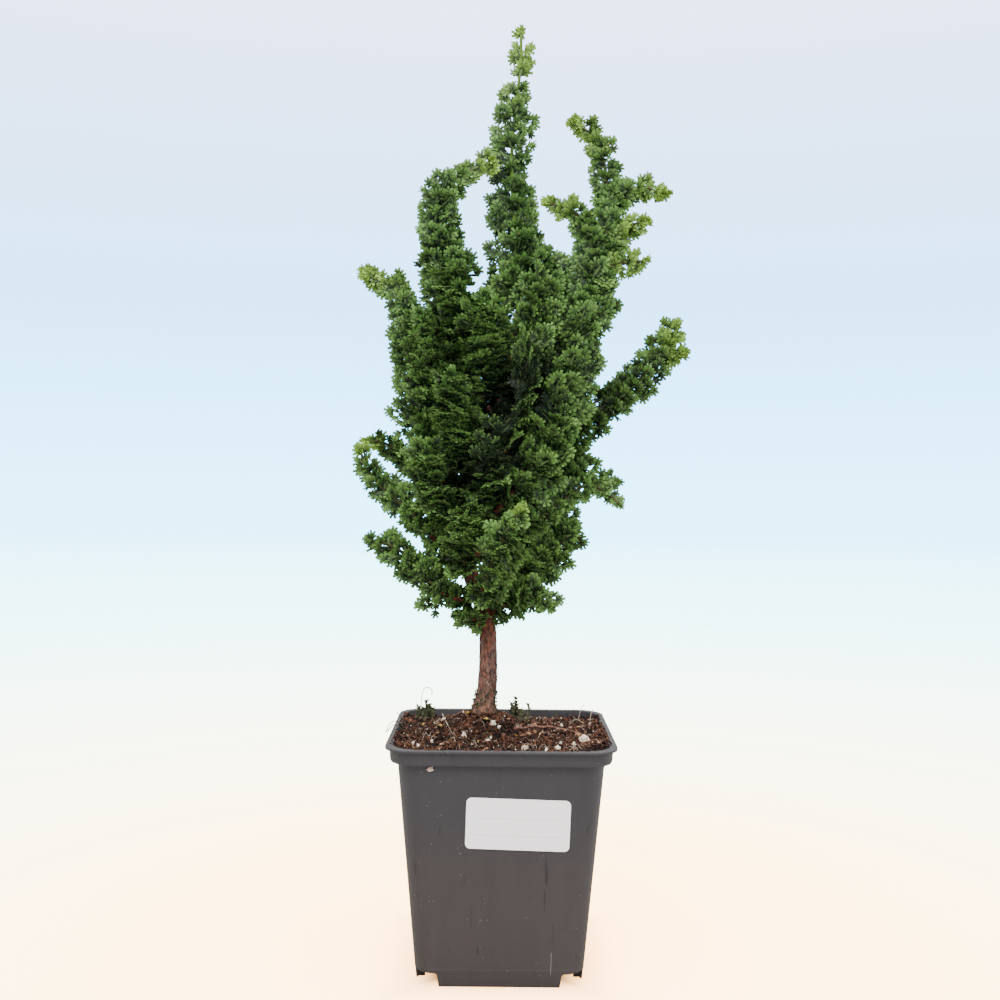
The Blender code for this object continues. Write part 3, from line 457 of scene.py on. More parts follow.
def into_corners(x, y):
    """Moves a point of the square bed in to its rounded corners."""
    straight = BED_HALF - BED_CORNER
    over = Vector((abs(x) - straight, abs(y) - straight))
    if min(over) > 0:
        over = over.normalized() * max(over)
        x = math.copysign(straight + over.x, x)
        y = math.copysign(straight + over.y, y)
    return x, y


bed = new_piece("compost_bed", bpy.ops.mesh.primitive_grid_add, x_subdivisions=BED_CELLS,
                y_subdivisions=BED_CELLS, size=2 * BED_HALF)
for vert in bed.data.vertices:
    x, y = into_corners(vert.co.x, vert.co.y)
    vert.co = resting(x, y, 0.0)
profile = [(SOIL_LEVEL, BED_HALF), (BED_STEP, BED_HALF), (BED_STEP, BED_STEP_HALF), (BED_LOW, BED_LOW_HALF)]
with edit_mode():
    select_by(bed, "edges", lambda e: e.is_boundary)
    for step, ((low, first), (high, second)) in enumerate(zip(profile, profile[1:])):
        bpy.ops.mesh.extrude_edges_move(TRANSFORM_OT_translate={"value": (0, 0, high - low)})
        if step == 0:
            bpy.ops.transform.resize(value=(1, 1, 0), center_override=(POT_X, POT_Y, high))
        share = second / first
        bpy.ops.transform.resize(value=(share, share, 1), center_override=(POT_X, POT_Y, high))
    bpy.ops.mesh.edge_face_add()
    bpy.ops.mesh.select_all(action="SELECT")
    bpy.ops.mesh.normals_make_consistent(inside=False)
start_fresh()
bed.select_set(True)
bpy.ops.object.shade_smooth_by_angle(angle=math.radians(70))


def peat_finish(name, dark, brown, tan):
    """Moist peat: near black where it is not fibrous, which in the bed's hollows between the crumbs is
    partly painted shade, red-brown where it is fibrous, with pale flecks.
    """
    peat = Finish(name)
    patches = peat.clouds(130, 4)
    threads = peat.clouds(900, 5, roughness=0.7)
    flecks = peat.between(peat.cells(1500), 0.22, 0.10) * peat.between(peat.clouds(420, 2), 0.55, 0.66)
    fibrous = peat.between(threads * 0.7 + patches * 0.3, 0.46, 0.59)
    colour = peat.layers(dark, (fibrous, brown), (flecks, tan))
    return peat.shade(colour, 0.80 + threads * 0.15, 0.12, (threads, 0.0005, 0.8))


# The bed's near-black peat is partly painted shade for the gaps between the crumbs.
finished(bed, peat_finish("peat", (0.002, 0.0015, 0.001), (0.042, 0.017, 0.010), (0.26, 0.17, 0.10)),
         ["soil"])


def taken_shape(piece):
    """A helper piece's points and faces as plain arrays. The piece is removed."""
    points = np.array([vert.co for vert in piece.data.vertices])
    faces = [list(face.vertices) for face in piece.data.polygons]
    bpy.data.objects.remove(piece)
    return points, faces


class Heap:
    """Copies of small shapes, gathered into the mesh of one piece."""

    def __init__(self):
        self.points = []
        self.faces = []
        self.values = {}
        self.count = 0

    def add(self, points, faces, **values):
        self.points.append(points)
        self.faces += [[corner + self.count for corner in face] for face in faces]
        for name, value in values.items():
            self.values.setdefault(name, []).append(np.broadcast_to(value, (len(points),)))
        self.count += len(points)

    def scatter(self, shape, stretch, place, rng):
        """Adds a copy of a shape, stretched and then turned at random."""
        points, faces = shape
        swing, roll = [Matrix.Rotation(rng.uniform(0, math.tau), 3, axis) for axis in ("Z", "X")]
        self.add((points * stretch) @ np.array(swing @ roll).T + np.array(place), faces)

    def arrays(self):
        """The points, the faces and each value at the points."""
        values = {name: np.concatenate(parts) for name, parts in self.values.items()}
        return np.concatenate(self.points), self.faces, values

    def piece(self, name, angle=60):
        points, faces, values = self.arrays()
        mesh = bpy.data.meshes.new(name)
        mesh.from_pydata(points, [], faces)
        for key, numbers in values.items():
            mesh.attributes.new(key, "FLOAT", "POINT").data.foreach_set("value", numbers.astype(np.float32))
        made = linked(name, mesh)
        bpy.ops.object.shade_smooth_by_angle(angle=math.radians(angle))
        return made


def mix(pair, share):
    return pair[0] + (pair[1] - pair[0]) * share


def stray(rng, most):
    """A random step to either side, up to the given one."""
    return rng.uniform(-most, most)


def on_bed(rng, margin):
    """A random place on the compost, about the pot's middle, clear of the trunk."""
    while True:
        x = rng.uniform(-1, 1) * (BED_HALF - margin)
        y = rng.uniform(-1, 1) * (BED_HALF - margin)
        fits = into_corners(x, y) == (x, y)
        if fits and math.hypot(x - TRUNK_X, y - TRUNK_Y) > TRUNK_CLEAR:
            return x, y


def lump_shape(seed, subdivisions, rough):
    """A rough lump of unit radius, from an icosphere pulled about by noise."""
    lump = new_piece("lump", bpy.ops.mesh.primitive_ico_sphere_add, subdivisions=subdivisions, radius=1)
    for vert in lump.data.vertices:
        vert.co *= 1 + rough * noise.noise(vert.co * 1.7 + Vector((seed, 0, 0)))
    return taken_shape(lump)


crumb_shapes = [lump_shape(seed, 1, 0.9) for seed in range(4)]
rng = random.Random(3)
crumbs = Heap()
for index in range(CRUMBS):
    x, y = on_bed(rng, CRUMB_CLEAR)
    size = mix(CRUMB_SIZES, rng.random() ** 1.6)
    stretch = np.array([rng.uniform(0.8, 2.2), rng.uniform(0.5, 1.0), rng.uniform(0.4, 0.9)])
    crumbs.scatter(crumb_shapes[index % 4], stretch * size, resting(x, y, 0.2 * size), rng)
# Some crumbs lie on the lip's inner edge at the front and sides, and some heap against the trunk's foot.
for index in range(LIP_CRUMBS):
    along = rng.uniform(-1, 1) * (BED_HALF - BED_CORNER)
    out = rng.uniform(*LIP_CRUMB_PLACES)
    x, y = ((along, -out), (-out, along), (out, along))[index % 3]
    size = rng.uniform(*LIP_CRUMB_SIZES)
    height = POT_HEIGHT + 0.25 * size if out > COLLAR_HALF - POT_WALL else POT_HEIGHT - 0.0006
    crumbs.scatter(crumb_shapes[index % 4], size, (x + POT_X, y + POT_Y, height), rng)
for index in range(FOOT_CRUMBS):
    turn = rng.uniform(0, math.tau)
    out = rng.uniform(*FOOT_CRUMB_PLACES)
    x, y = TRUNK_X + out * math.cos(turn), TRUNK_Y + out * math.sin(turn)
    size = rng.uniform(*FOOT_CRUMB_SIZES)
    place = resting(x, y, rng.random() * 0.25 * (0.0100 - out))
    crumbs.scatter(crumb_shapes[index % 4], size, place, rng)
loose_peat = peat_finish("peat_crumb", (0.004, 0.002, 0.0015), (0.135, 0.056, 0.031), (0.50, 0.36, 0.24))
finished(crumbs.piece("peat_crumbs", 40), loose_peat)


def strands(name, routes, sides=0):
    """Thin round strands as one mesh. Each route is a list of points and a list of radii."""
    curve = bpy.data.curves.new(name, "CURVE")
    curve.dimensions = "3D"
    curve.bevel_depth = 1.0
    curve.bevel_resolution = sides
    curve.use_fill_caps = True
    for points, radii in routes:
        spline = curve.splines.new("POLY")
        spline.points.add(len(points) - 1)
        for knot, point, radius in zip(spline.points, points, radii):
            knot.co = (*point, 1.0)
            knot.radius = radius
    made = linked(name, curve)
    bpy.ops.object.convert(target="MESH")
    with edit_mode():
        bpy.ops.mesh.select_all(action="SELECT")
        bpy.ops.mesh.remove_doubles(threshold=1e-6)
    bpy.ops.object.shade_smooth_by_angle(angle=math.radians(60))
    return made


def curled_strand(rng, length, radius, lift):
    """A strand that wanders over the bed from a random place, and rises a little between its ends."""
    x, y = on_bed(rng, STRAND_CLEAR)
    course = rng.uniform(0, math.tau)
    curl = stray(rng, STRAND_CURL)
    steps = max(4, round(length / STRAND_STEP))
    high = lift * rng.uniform(*STRAND_RISE)
    points, radii = [], []
    for step in range(steps + 1):
        share = step / steps
        inside = into_corners(max(-BED_HALF, min(BED_HALF, x)), max(-BED_HALF, min(BED_HALF, y)))
        rise = high * math.sin(math.pi * share) ** 0.7 + stray(rng, STRAND_BUMPS)
        points.append(resting(*inside, rise))
        radii.append(radius * (1 - 0.5 * share))
        course += curl + stray(rng, STRAND_WANDER)
        x += length / steps * math.cos(course)
        y += length / steps * math.sin(course)
    return points, radii


def fibre_finish(name, dark, light):
    fibre = Finish(name)
    tone = fibre.clouds(700, 3)
    colour = fibre.blend(fibre.between(tone, 0.35, 0.65), dark, light)
    return fibre.shade(colour, 0.62 + tone * 0.2, 0.35, (fibre.clouds(4000, 2), 0.00006, 0.6))


for name, seed, count, lengths, radii, lift, dark, light in (
        ("red_rootlets", 21, 280, (0.0015, 0.0070), (0.00007, 0.00016), 0.0020,
         (0.050, 0.020, 0.013), (0.20, 0.085, 0.052)),
        ("dark_rootlets", 22, 260, (0.0015, 0.0060), (0.00007, 0.00017), 0.0018,
         (0.010, 0.008, 0.006), (0.055, 0.032, 0.022)),
        ("straw_threads", 23, 170, (0.0015, 0.0055), (0.00006, 0.00011), 0.0020,
         (0.20, 0.15, 0.10), (0.52, 0.43, 0.33))):
    rng = random.Random(seed)
    routes = [curled_strand(rng, rng.uniform(*lengths), rng.uniform(*radii), lift) for _ in range(count)]
    finished(strands(name, routes), fibre_finish(name, dark, light))


def curve_through(points, per_span=8):
    """Points on a smooth curve that passes through each of the given ones."""
    knots = [Vector(p) for p in points]
    knots = [2 * knots[0] - knots[1], *knots, 2 * knots[-1] - knots[-2]]
    line = []
    for a, b, c, d in zip(knots, knots[1:], knots[2:], knots[3:]):
        for step in range(per_span):
            t = step / per_span
            line.append(0.5 * (2 * b + (c - a) * t + (2 * a - 5 * b + 4 * c - d) * t ** 2
                               + (3 * b - a - 3 * c + d) * t ** 3))
    line.append(knots[-2])
    return line


# Single strands that stand out: points about the pot's middle at heights above the floor.
PALE_STRAWS = (
    ((-0.0249, 0.0050, 0.0990), (-0.0222, -0.0040, 0.0962), (-0.0195, -0.0120, 0.0935)),
    ((0.0340, 0.0290, 0.0925), (0.0350, 0.0295, 0.0965), (0.0366, 0.0300, 0.0992)),
    ((0.0385, 0.0220, 0.0930), (0.0392, 0.0240, 0.0962), (0.0405, 0.0255, 0.0978)),
    ((0.0290, 0.0150, 0.0930), (0.0320, 0.0130, 0.0955), (0.0352, 0.0125, 0.0940)),
)
DARK_STALKS = (
    ((-0.0354, 0.0290, 0.0930), (-0.0352, 0.0290, 0.1010), (-0.0342, 0.0288, 0.1052),
     (-0.0322, 0.0288, 0.1060), (-0.0305, 0.0286, 0.1045), (-0.0309, 0.0284, 0.1028)),
    ((-0.0400, 0.0000, 0.0935), (-0.0435, -0.0010, 0.0968), (-0.0462, -0.0030, 0.0960),
     (-0.0474, -0.0060, 0.0930)),
    ((-0.0405, -0.0040, 0.0935), (-0.0440, -0.0055, 0.0962), (-0.0466, -0.0085, 0.0940)),
    ((-0.0395, 0.0060, 0.0930), (-0.0425, 0.0070, 0.0972), (-0.0440, 0.0060, 0.0990)),
)
for name, strand_places, radius, dark, light in (
        ("pale_straws", PALE_STRAWS, 0.00015, (0.18, 0.13, 0.09), (0.58, 0.49, 0.38)),
        ("dark_stalks", DARK_STALKS, 0.00019, (0.012, 0.010, 0.007), (0.070, 0.055, 0.035))):
    routes = []
    for places in strand_places:
        spots = [spot + Vector((POT_X, POT_Y, 0)) for spot in curve_through(places, 5)]
        routes.append((spots, [radius] * len(spots)))
    finished(strands(name, routes, 1), fibre_finish(name, dark, light))

# Old scale leaves that fell on the compost and yellowed: places about the pot's middle, and sizes.
FALLEN = ((-0.0140, 0.0020, 0.0012), (-0.0064, -0.0060, 0.0012), (-0.0090, -0.0210, 0.0007),
          (0.0060, -0.0130, 0.0007), (-0.0250, -0.0020, 0.0007), (0.0280, -0.0250, 0.0007),
          (0.0300, 0.0080, 0.0007), (-0.0330, 0.0100, 0.0007))
fallen = Heap()
for index, (x, y, size) in enumerate(FALLEN):
    fallen.scatter(crumb_shapes[index % 4], SCALE_SHAPE * size, resting(x, y, 0.9 * size), rng)
yellowed = fibre_finish("fallen_scales", (0.20, 0.13, 0.04), (0.62, 0.42, 0.10))
finished(fallen.piece("fallen_scales"), yellowed)

# Chips of composted bark.
chips = Heap()
for index in range(BARK_CHIPS):
    x, y = on_bed(rng, CHIP_CLEAR)
    size = rng.uniform(*CHIP_SIZES)
    chips.scatter(crumb_shapes[index % 4], CHIP_SHAPE * size, resting(x, y, 0.5 * size), rng)
composted = fibre_finish("bark_chips", (0.060, 0.024, 0.013), (0.46, 0.25, 0.14))
finished(chips.piece("bark_chips", 35), composted)


# Perlite
# Chalky white grains of expanded glass that keep the compost open, half sunk in it. Specks of peat stick to
# them, and their dust lies about.

GRAIN_NODES = [f"perlite_grain_{number}" for number in range(1, 7)]
GRAIN_DIRT = 14
DIRT_SIZES = (0.0002, 0.0005)
DUST_GRAINS = 230
DUST_SIZES = (0.00012, 0.00034)
COARSE_DUST = 12
COARSE_SIZES = (0.0005, 0.0009)
STUCK_HALF = np.array([0.0012, 0.0007, 0.0008])
STUCK_X = POT_X - 0.0270
STUCK_HEIGHT = 0.0862


def chalk_finish(name, low, high):
    chalk = Finish(name)
    pores = chalk.clouds(1800, 4)
    stain = chalk.clouds(500, 3)
    colour = chalk.layers(high, (chalk.between(stain, 0.40, 0.66), low),
                          (chalk.between(pores, 0.46, 0.34) * 0.5, (0.20, 0.13, 0.09)))
    return chalk.shade(colour, 0.85, 0.3, (pores, 0.0003, 0.8))


rng = random.Random(5)
grains = Heap()
dirt = Heap()
for number, node in enumerate(GRAIN_NODES, 1):
    grain_low, grain_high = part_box(node)
    middle = (grain_low + grain_high) / 2
    points, faces = lump_shape(10 + number, 4, 0.55)
    span = (points.max(axis=0) - points.min(axis=0)) / 2
    points = (points - (points.max(axis=0) + points.min(axis=0)) / 2) / span
    half = np.array(grain_high - grain_low) / 2
    grains.add(points * half + np.array(middle), faces)
    for _ in range(GRAIN_DIRT):
        turn = rng.uniform(0, math.tau)
        side = np.array([math.cos(turn), math.sin(turn), rng.uniform(-0.6, 0.2)]) * rng.uniform(0.85, 1.10)
        shape = crumb_shapes[rng.randrange(4)]
        dirt.scatter(shape, rng.uniform(*DIRT_SIZES), np.array(middle) + side * half, rng)
finished(grains.piece("perlite_grains"), chalk_finish("perlite", (0.34, 0.25, 0.16), (0.80, 0.71, 0.56)),
         GRAIN_NODES)
finished(dirt.piece("perlite_dirt", 40), loose_peat)
dust = Heap()
dust_shapes = [lump_shape(seed, 1, 0.7) for seed in (31, 32, 33)]
for index in range(DUST_GRAINS):
    x, y = on_bed(rng, EDGE_CLEAR)
    size = rng.uniform(*(DUST_SIZES if index % COARSE_DUST else COARSE_SIZES))
    dust.scatter(dust_shapes[index % 3], size, resting(x, y, 0.9 * size), rng)
dusty = chalk_finish("perlite_dust", (0.42, 0.31, 0.21), (0.84, 0.76, 0.64))
finished(dust.piece("perlite_dust", 35), dusty)
# One crumb, stained by the peat, clings to the wall just under the collar.
stuck = Heap()
points, faces = lump_shape(47, 2, 0.9)
stuck_place = (STUCK_X, POT_Y - wall_half(STUCK_HEIGHT) - 0.0005, STUCK_HEIGHT)
stuck.add(points * STUCK_HALF + np.array(stuck_place), faces)
stained = chalk_finish("stained_perlite", (0.26, 0.15, 0.11), (0.60, 0.43, 0.36))
finished(stuck.piece("stuck_crumb", 35), stained)


# Surface roots
# Two fine woody roots of the tree that arch out of the compost and dive back in.

SURFACE_ROOTS = (
    ((-0.0200, 0.0135), (-0.0175, 0.0090), (-0.0155, 0.0040), (-0.0140, -0.0010)),
    ((0.0050, -0.0100), (0.0120, -0.0030), (0.0200, 0.0010), (0.0275, 0.0010), (0.0320, -0.0060)),
)
ROOT_RADIUS = 0.0006
ROOT_ARCH = 0.0010
ROOT_WANDER = 0.0003

root_finish = fibre_finish("root_bark", (0.050, 0.020, 0.014), (0.26, 0.115, 0.075))
for number, places in enumerate(SURFACE_ROOTS, 1):
    line = curve_through([(x, y, 0.0) for x, y in places], 10)
    last = len(line) - 1
    route = []
    for step, point in enumerate(line):
        arch = ROOT_ARCH * math.sin(math.pi * step / last)
        wander = ROOT_WANDER * math.sin(step * 1.1)
        route.append((point.x + POT_X + wander, point.y + POT_Y,
                      bed_height(point.x, point.y) + 1.3 * ROOT_RADIUS + arch))
    radii = [ROOT_RADIUS * (0.80 - 0.35 * step / last + 0.08 * math.sin(step * 1.7))
             for step in range(last + 1)]
    finished(strands(f"arching_root_{number}", [(route, radii)], 2), root_finish,
             [f"surface_root_{number}"])


# Moss
# Dead and dry sprigs of moss that came up in the compost: tufts of stiff dark stalks, set all round with
# tiny pointed leaves. A tuft is one piece.

# The tufts' places about the pot's middle, their heights and their numbers of stalks.
TUFTS = ((-0.0335, 0.0290, 0.0085, 20), (0.0065, 0.0110, 0.0100, 11))
TUFT_SPREAD = (0.0006, 0.0040)
STALK_RADII = [0.00022, 0.0002, 0.0001]
LEAF_PITCH = 0.00032
LEAF_SIZES = (0.0012, 0.0024)
LEAF_TURN = 2.4
TUFT_FOOT = 0.0005
TUFT_LEAN = (0.0012, 0.0010)

leaf = new_piece("moss_leaf", bpy.ops.mesh.primitive_cone_add, vertices=4, radius1=1, depth=1,
                 location=(0, 0, 0.5))
with edit_mode():
    bpy.ops.mesh.select_all(action="SELECT")
    bpy.ops.transform.resize(value=(0.28, 0.10, 1))
leaf_points, leaf_faces = taken_shape(leaf)


def basis(along, across):
    """The rows of a turn that sets X along one direction and Y near another."""
    along = along.normalized()
    flat = (across - along * across.dot(along)).normalized()
    return np.array([along, flat, along.cross(flat)])


def moss_stalk(heap, foot, top, rng):
    """A bent stalk with leaves all round it."""
    foot, top = Vector(foot), Vector(top)
    length = (top - foot).length
    count = max(8, round(length / LEAF_PITCH))
    for index in range(count):
        share = index / count
        spot = foot.lerp(top, share) + Vector((0.0006 * math.sin(3 * share), 0, 0))
        turn = index * LEAF_TURN
        way = Vector((math.cos(turn), math.sin(turn), rng.uniform(0.5, 1.1)))
        sized = leaf_points * rng.uniform(*LEAF_SIZES)
        heap.add(sized[:, [2, 0, 1]] @ basis(way, Vector((0, 0, 1))) + np.array(spot), leaf_faces)
    return [foot, foot.lerp(top, 0.5) + Vector((0.0005, 0, 0)), top], STALK_RADII


moss_green = fibre_finish("dry_moss", (0.012, 0.015, 0.008), (0.095, 0.100, 0.045))
for number, (x, y, height, stalks) in enumerate(TUFTS, 1):
    rng = random.Random(60 + number)
    tuft = Heap()
    stems = []
    for stalk in range(stalks):
        aside = 0.0 if stalk == 0 else rng.uniform(*TUFT_SPREAD)
        turn = rng.uniform(0, math.tau)
        foot_x = x + aside * math.cos(turn)
        foot_y = y + aside * math.sin(turn)
        tall = height * (1.0 if stalk == 0 else rng.uniform(0.35, 0.8))
        ground = bed_height(foot_x, foot_y)
        foot = (foot_x + POT_X, foot_y + POT_Y, ground - TUFT_FOOT)
        top = (foot[0] + stray(rng, TUFT_LEAN[0]), foot[1] + stray(rng, TUFT_LEAN[1]), ground + tall)
        stems.append(moss_stalk(tuft, foot, top, rng))
    tuft.add(*taken_shape(strands("moss_stems", stems)))
    finished(tuft.piece(f"moss_tuft_{number}"), moss_green, [f"moss_stalk_{number}"])


# Trunk
# The cypress's own wood, grown as one piece: a slightly swept stem with thin red-brown bark that weathers
# grey and peels in long flakes, and the bare feet of its limbs, redder where the foliage shades them.

FOOT_RADIUS = 0.0050
FOOT_DEPTH = 0.072
TRUNK_TOP = 0.269
TRUNK_ROUTE = (
    (TRUNK_X, TRUNK_Y, FOOT_DEPTH), (TRUNK_X, TRUNK_Y, 0.1005), (-0.0062, 0.004, 0.110),
    (-0.0058, 0.004, 0.122), (-0.0064, 0.004, 0.138), (-0.0100, 0.004, 0.149), (-0.0142, 0.004, 0.160),
    (-0.0146, 0.004, 0.170), (-0.0128, 0.004, 0.181), (-0.0096, 0.005, 0.198), (-0.0056, 0.006, 0.214),
    (-0.0018, 0.006, 0.231), (0.0021, 0.006, 0.252), (0.0052, 0.006, TRUNK_TOP),
)
TRUNK_TAPER = ((FOOT_DEPTH, FOOT_RADIUS), (0.101, FOOT_RADIUS), (0.106, 0.0044), (0.125, 0.0039),
               (0.150, 0.0036), (0.180, 0.0029), (0.215, 0.0022), (TRUNK_TOP, 0.0013))
LONG_LIMB = 0.060
STOUT_LIMB = 0.0019
THIN_LIMB = 0.0014
STEM_RADIUS = 0.0009
GAP = 0.0003
SEED = 11
GOLDEN_ANGLE = math.radians(137.5)
# The bark's ridges up the stem, short cracks and wide plates, each with its width, length and height.
BARK_RELIEF = ((0.0012, 0.0032, 0.00016), (0.0006, 0.0016, 0.00016), (0.0030, 0.0100, 0.00020))
FLARE_MIDDLE = 0.0985
FLARE_HALF = 0.006
FLARE_OUT = 0.0010
BARE_OUT = 0.003
LIMB_UNDER_LEAVES = 0.004
LIMB_STEP = 0.0018
BARK_THICK = 0.0002
BARK_START = 0.022
BARK_STEP = 0.0009
LINE_STEP = 0.002
FLAKES = 260
FLAKED = (0.0995, 0.168)
FLAKE_SIZES = (0.0010, 0.0024)
FLAKE_SUNK = 0.00012
FLAKE_ASKEW = 0.25
FLAKE_PEEL = (0.3, 0.9)
CRUST_LUMPS = 230
CRUSTED = (0.0985, 0.1100)
CRUST_SIZES = (0.0002, 0.0006)
CRUST_SHAPE = np.array([1.6, 0.6, 0.6])

# A limb, as in the CAD model: the length of its wood that stays bare, how far its sprays reach out at shares
# of the way along it, the routes of its stem and its side stems, about the pot's middle, and the length of
# the tip that is this year's yellow-green growth.
Limb = namedtuple("Limb", "name bare reach routes young")
SIDE_REACH = ((0.0, 0.0070), (1.0, 0.0050))
THIN_SIDE_REACH = ((0.0, 0.0050), (1.0, 0.0032))
LEADER = Limb("leader", 0.0, ((0.0, 0.0120), (0.40, 0.0105), (0.50, 0.0080), (0.56, 0.0112),
                              (0.66, 0.0090), (0.73, 0.0086), (0.80, 0.0080), (0.87, 0.0064),
                              (0.94, 0.0048), (1.0, 0.0036)), (
    ((0.0052, 0.006, TRUNK_TOP), (0.0054, 0.006, 0.285), (0.0033, 0.006, 0.305), (0.0021, 0.006, 0.332),
     (0.0033, 0.006, 0.352), (0.0056, 0.006, 0.372), (0.0055, 0.006, 0.3835)),
), 0.062)
ARMS = (
    Limb("left_arm_high", 0.030, ((0.0, 0.0125), (0.62, 0.0120), (0.72, 0.0105), (0.85, 0.0084),
                                  (1.0, 0.0050)), (
        ((-0.0120, 0.004, 0.185), (-0.0165, 0.003, 0.206), (-0.0205, 0.001, 0.226), (-0.0232, 0.0, 0.247),
         (-0.0240, 0.0, 0.268), (-0.0266, 0.0, 0.287), (-0.0295, 0.0, 0.303), (-0.0285, 0.0, 0.3135),
         (-0.0214, 0.0, 0.3215), (-0.0132, 0.0, 0.3265), (-0.0080, 0.0, 0.3290)),
    ), 0.022),
    Limb("left_arm_low", 0.030, ((0.0, 0.0130), (0.70, 0.0095), (1.0, 0.0044)), (
        ((-0.0138, 0.002, 0.176), (-0.0235, -0.006, 0.194), (-0.0325, -0.008, 0.215),
         (-0.0366, -0.008, 0.237), (-0.0380, -0.008, 0.254), (-0.0402, -0.008, 0.268),
         (-0.0448, -0.008, 0.275), (-0.0515, -0.008, 0.278), (-0.0575, -0.008, 0.281)),
    ), 0.028),
    Limb("right_arm", 0.034, ((0.0, 0.0135), (0.60, 0.0120), (0.78, 0.0078), (1.0, 0.0050)), (
        ((-0.0140, 0.003, 0.172), (0.0000, -0.012, 0.188), (0.0144, -0.018, 0.209), (0.0221, -0.018, 0.231),
         (0.0275, -0.018, 0.253), (0.0327, -0.016, 0.273), (0.0371, -0.014, 0.291), (0.0402, -0.014, 0.307),
         (0.0400, -0.014, 0.321), (0.0375, -0.014, 0.331), (0.0330, -0.014, 0.3375),
         (0.0275, -0.014, 0.3405)),
        ((0.0402, -0.014, 0.307), (0.0466, -0.014, 0.3125), (0.0538, -0.014, 0.3155),
         (0.0630, -0.014, 0.3135)),
        ((0.0360, -0.014, 0.287), (0.0300, -0.014, 0.303), (0.0226, -0.014, 0.307),
         (0.0175, -0.014, 0.3085)),
        ((0.0385, -0.015, 0.296), (0.0465, -0.016, 0.299), (0.0545, -0.018, 0.3005)),
        ((0.0340, -0.016, 0.279), (0.0440, -0.017, 0.284), (0.0540, -0.018, 0.2850)),
    ), 0.032),
    Limb("right_reach", 0.036, ((0.0, 0.0105), (0.70, 0.0080), (1.0, 0.0074)), (
        ((-0.0128, 0.004, 0.180), (0.0068, 0.004, 0.197), (0.0235, 0.004, 0.2115), (0.0413, 0.004, 0.2275),
         (0.0530, 0.004, 0.2365), (0.0620, 0.004, 0.2465), (0.0680, 0.004, 0.2545), (0.0710, 0.004, 0.2600)),
        ((0.0650, 0.004, 0.2505), (0.0695, 0.004, 0.2515), (0.0735, 0.004, 0.2515)),
    ), 0.026),
    Limb("right_twig", 0.026, ((0.0, 0.0085), (0.7, 0.0060), (1.0, 0.0034)), (
        ((-0.0145, 0.003, 0.164), (0.0069, -0.008, 0.1765), (0.0230, -0.012, 0.1885),
         (0.0331, -0.012, 0.1955), (0.0400, -0.012, 0.1972), (0.0465, -0.012, 0.1966)),
        ((0.0345, -0.012, 0.1960), (0.0415, -0.013, 0.1925), (0.0468, -0.014, 0.1875)),
    ), 0.0),
    Limb("loop_low", 0.022, ((0.0, 0.0095), (1.0, 0.0060)), (
        ((-0.0145, 0.002, 0.1600), (-0.0218, -0.005, 0.1660), (-0.0291, -0.010, 0.1740),
         (-0.0372, -0.013, 0.1835), (-0.0442, -0.014, 0.1895), (-0.0510, -0.014, 0.1955),
         (-0.0560, -0.014, 0.2025), (-0.0575, -0.014, 0.2070)),
    ), 0.010),
    Limb("loop_high", 0.022, ((0.0, 0.0095), (1.0, 0.0045)), (
        ((-0.0146, 0.003, 0.170), (-0.0250, 0.004, 0.184), (-0.0350, 0.004, 0.198), (-0.0430, 0.002, 0.2075),
         (-0.0505, -0.002, 0.2125), (-0.0560, -0.005, 0.2125)),
    ), 0.018),
    Limb("left_low", 0.018, ((0.0, 0.0105), (1.0, 0.0075)), (
        ((-0.0090, 0.003, 0.1470), (-0.0195, -0.006, 0.1485), (-0.0267, -0.010, 0.1530),
         (-0.0348, -0.012, 0.1615), (-0.0428, -0.014, 0.1690), (-0.0505, -0.014, 0.1715)),
    ), 0.0),
    Limb("front_fan", 0.016, ((0.0, 0.0120), (0.75, 0.0095), (1.0, 0.0036)), (
        ((-0.0095, 0.003, 0.1480), (-0.0076, -0.014, 0.1535), (-0.0040, -0.028, 0.1655),
         (0.0010, -0.037, 0.1765), (0.0060, -0.041, 0.1850)),
    ), 0.006),
    Limb("low_right", 0.010, ((0.0, 0.0100), (1.0, 0.0058)), (
        ((-0.0065, 0.004, 0.1400), (0.0051, -0.008, 0.1490), (0.0131, -0.012, 0.1510),
         (0.0175, -0.014, 0.1475)),
    ), 0.0),
    Limb("low_right_wide", 0.014, ((0.0, 0.0115), (1.0, 0.0095)), (
        ((-0.0085, 0.004, 0.1445), (0.0070, -0.002, 0.1590), (0.0170, -0.005, 0.1670),
         (0.0250, -0.007, 0.1750)),
    ), 0.0),
    Limb("low_left", 0.006, ((0.0, 0.0075), (1.0, 0.0060)), (
        ((-0.0060, 0.004, 0.1350), (-0.0110, -0.002, 0.1390), (-0.0140, -0.006, 0.1410)),
    ), 0.0),
)
CROWN_LIMBS = 32
CROWN_START = (0.146, 0.246)
CROWN_TURN = math.radians(65)
CROWN_RISE = (0.018, 0.040)
CROWN_BARE = 0.008
CROWN_SPRAY = ((0.0, 0.0140), (1.0, 0.0110))
CROWN_MIDDLE = (-0.004, 0.000)
CROWN_PROFILE = ((0.140, 0.014), (0.160, 0.023), (0.180, 0.030), (0.200, 0.033), (0.230, 0.034),
                 (0.250, 0.032), (0.275, 0.026), (0.300, 0.018))
CROWN_CLEAR = 0.0048
CROWN_ELBOW = (0.55, 0.30)
CROWN_UPTURN = 0.35
UPTURN_DROP = 0.001


def step_value(table, at):
    """Straight-line value from a table of (place, value) rows."""
    if at <= table[0][0]:
        return table[0][1]
    for (low, first), (high, second) in zip(table, table[1:]):
        if at <= high:
            return first + (second - first) * (at - low) / (high - low)
    return table[-1][1]


def line_length(line):
    return sum((b - a).length for a, b in zip(line, line[1:]))


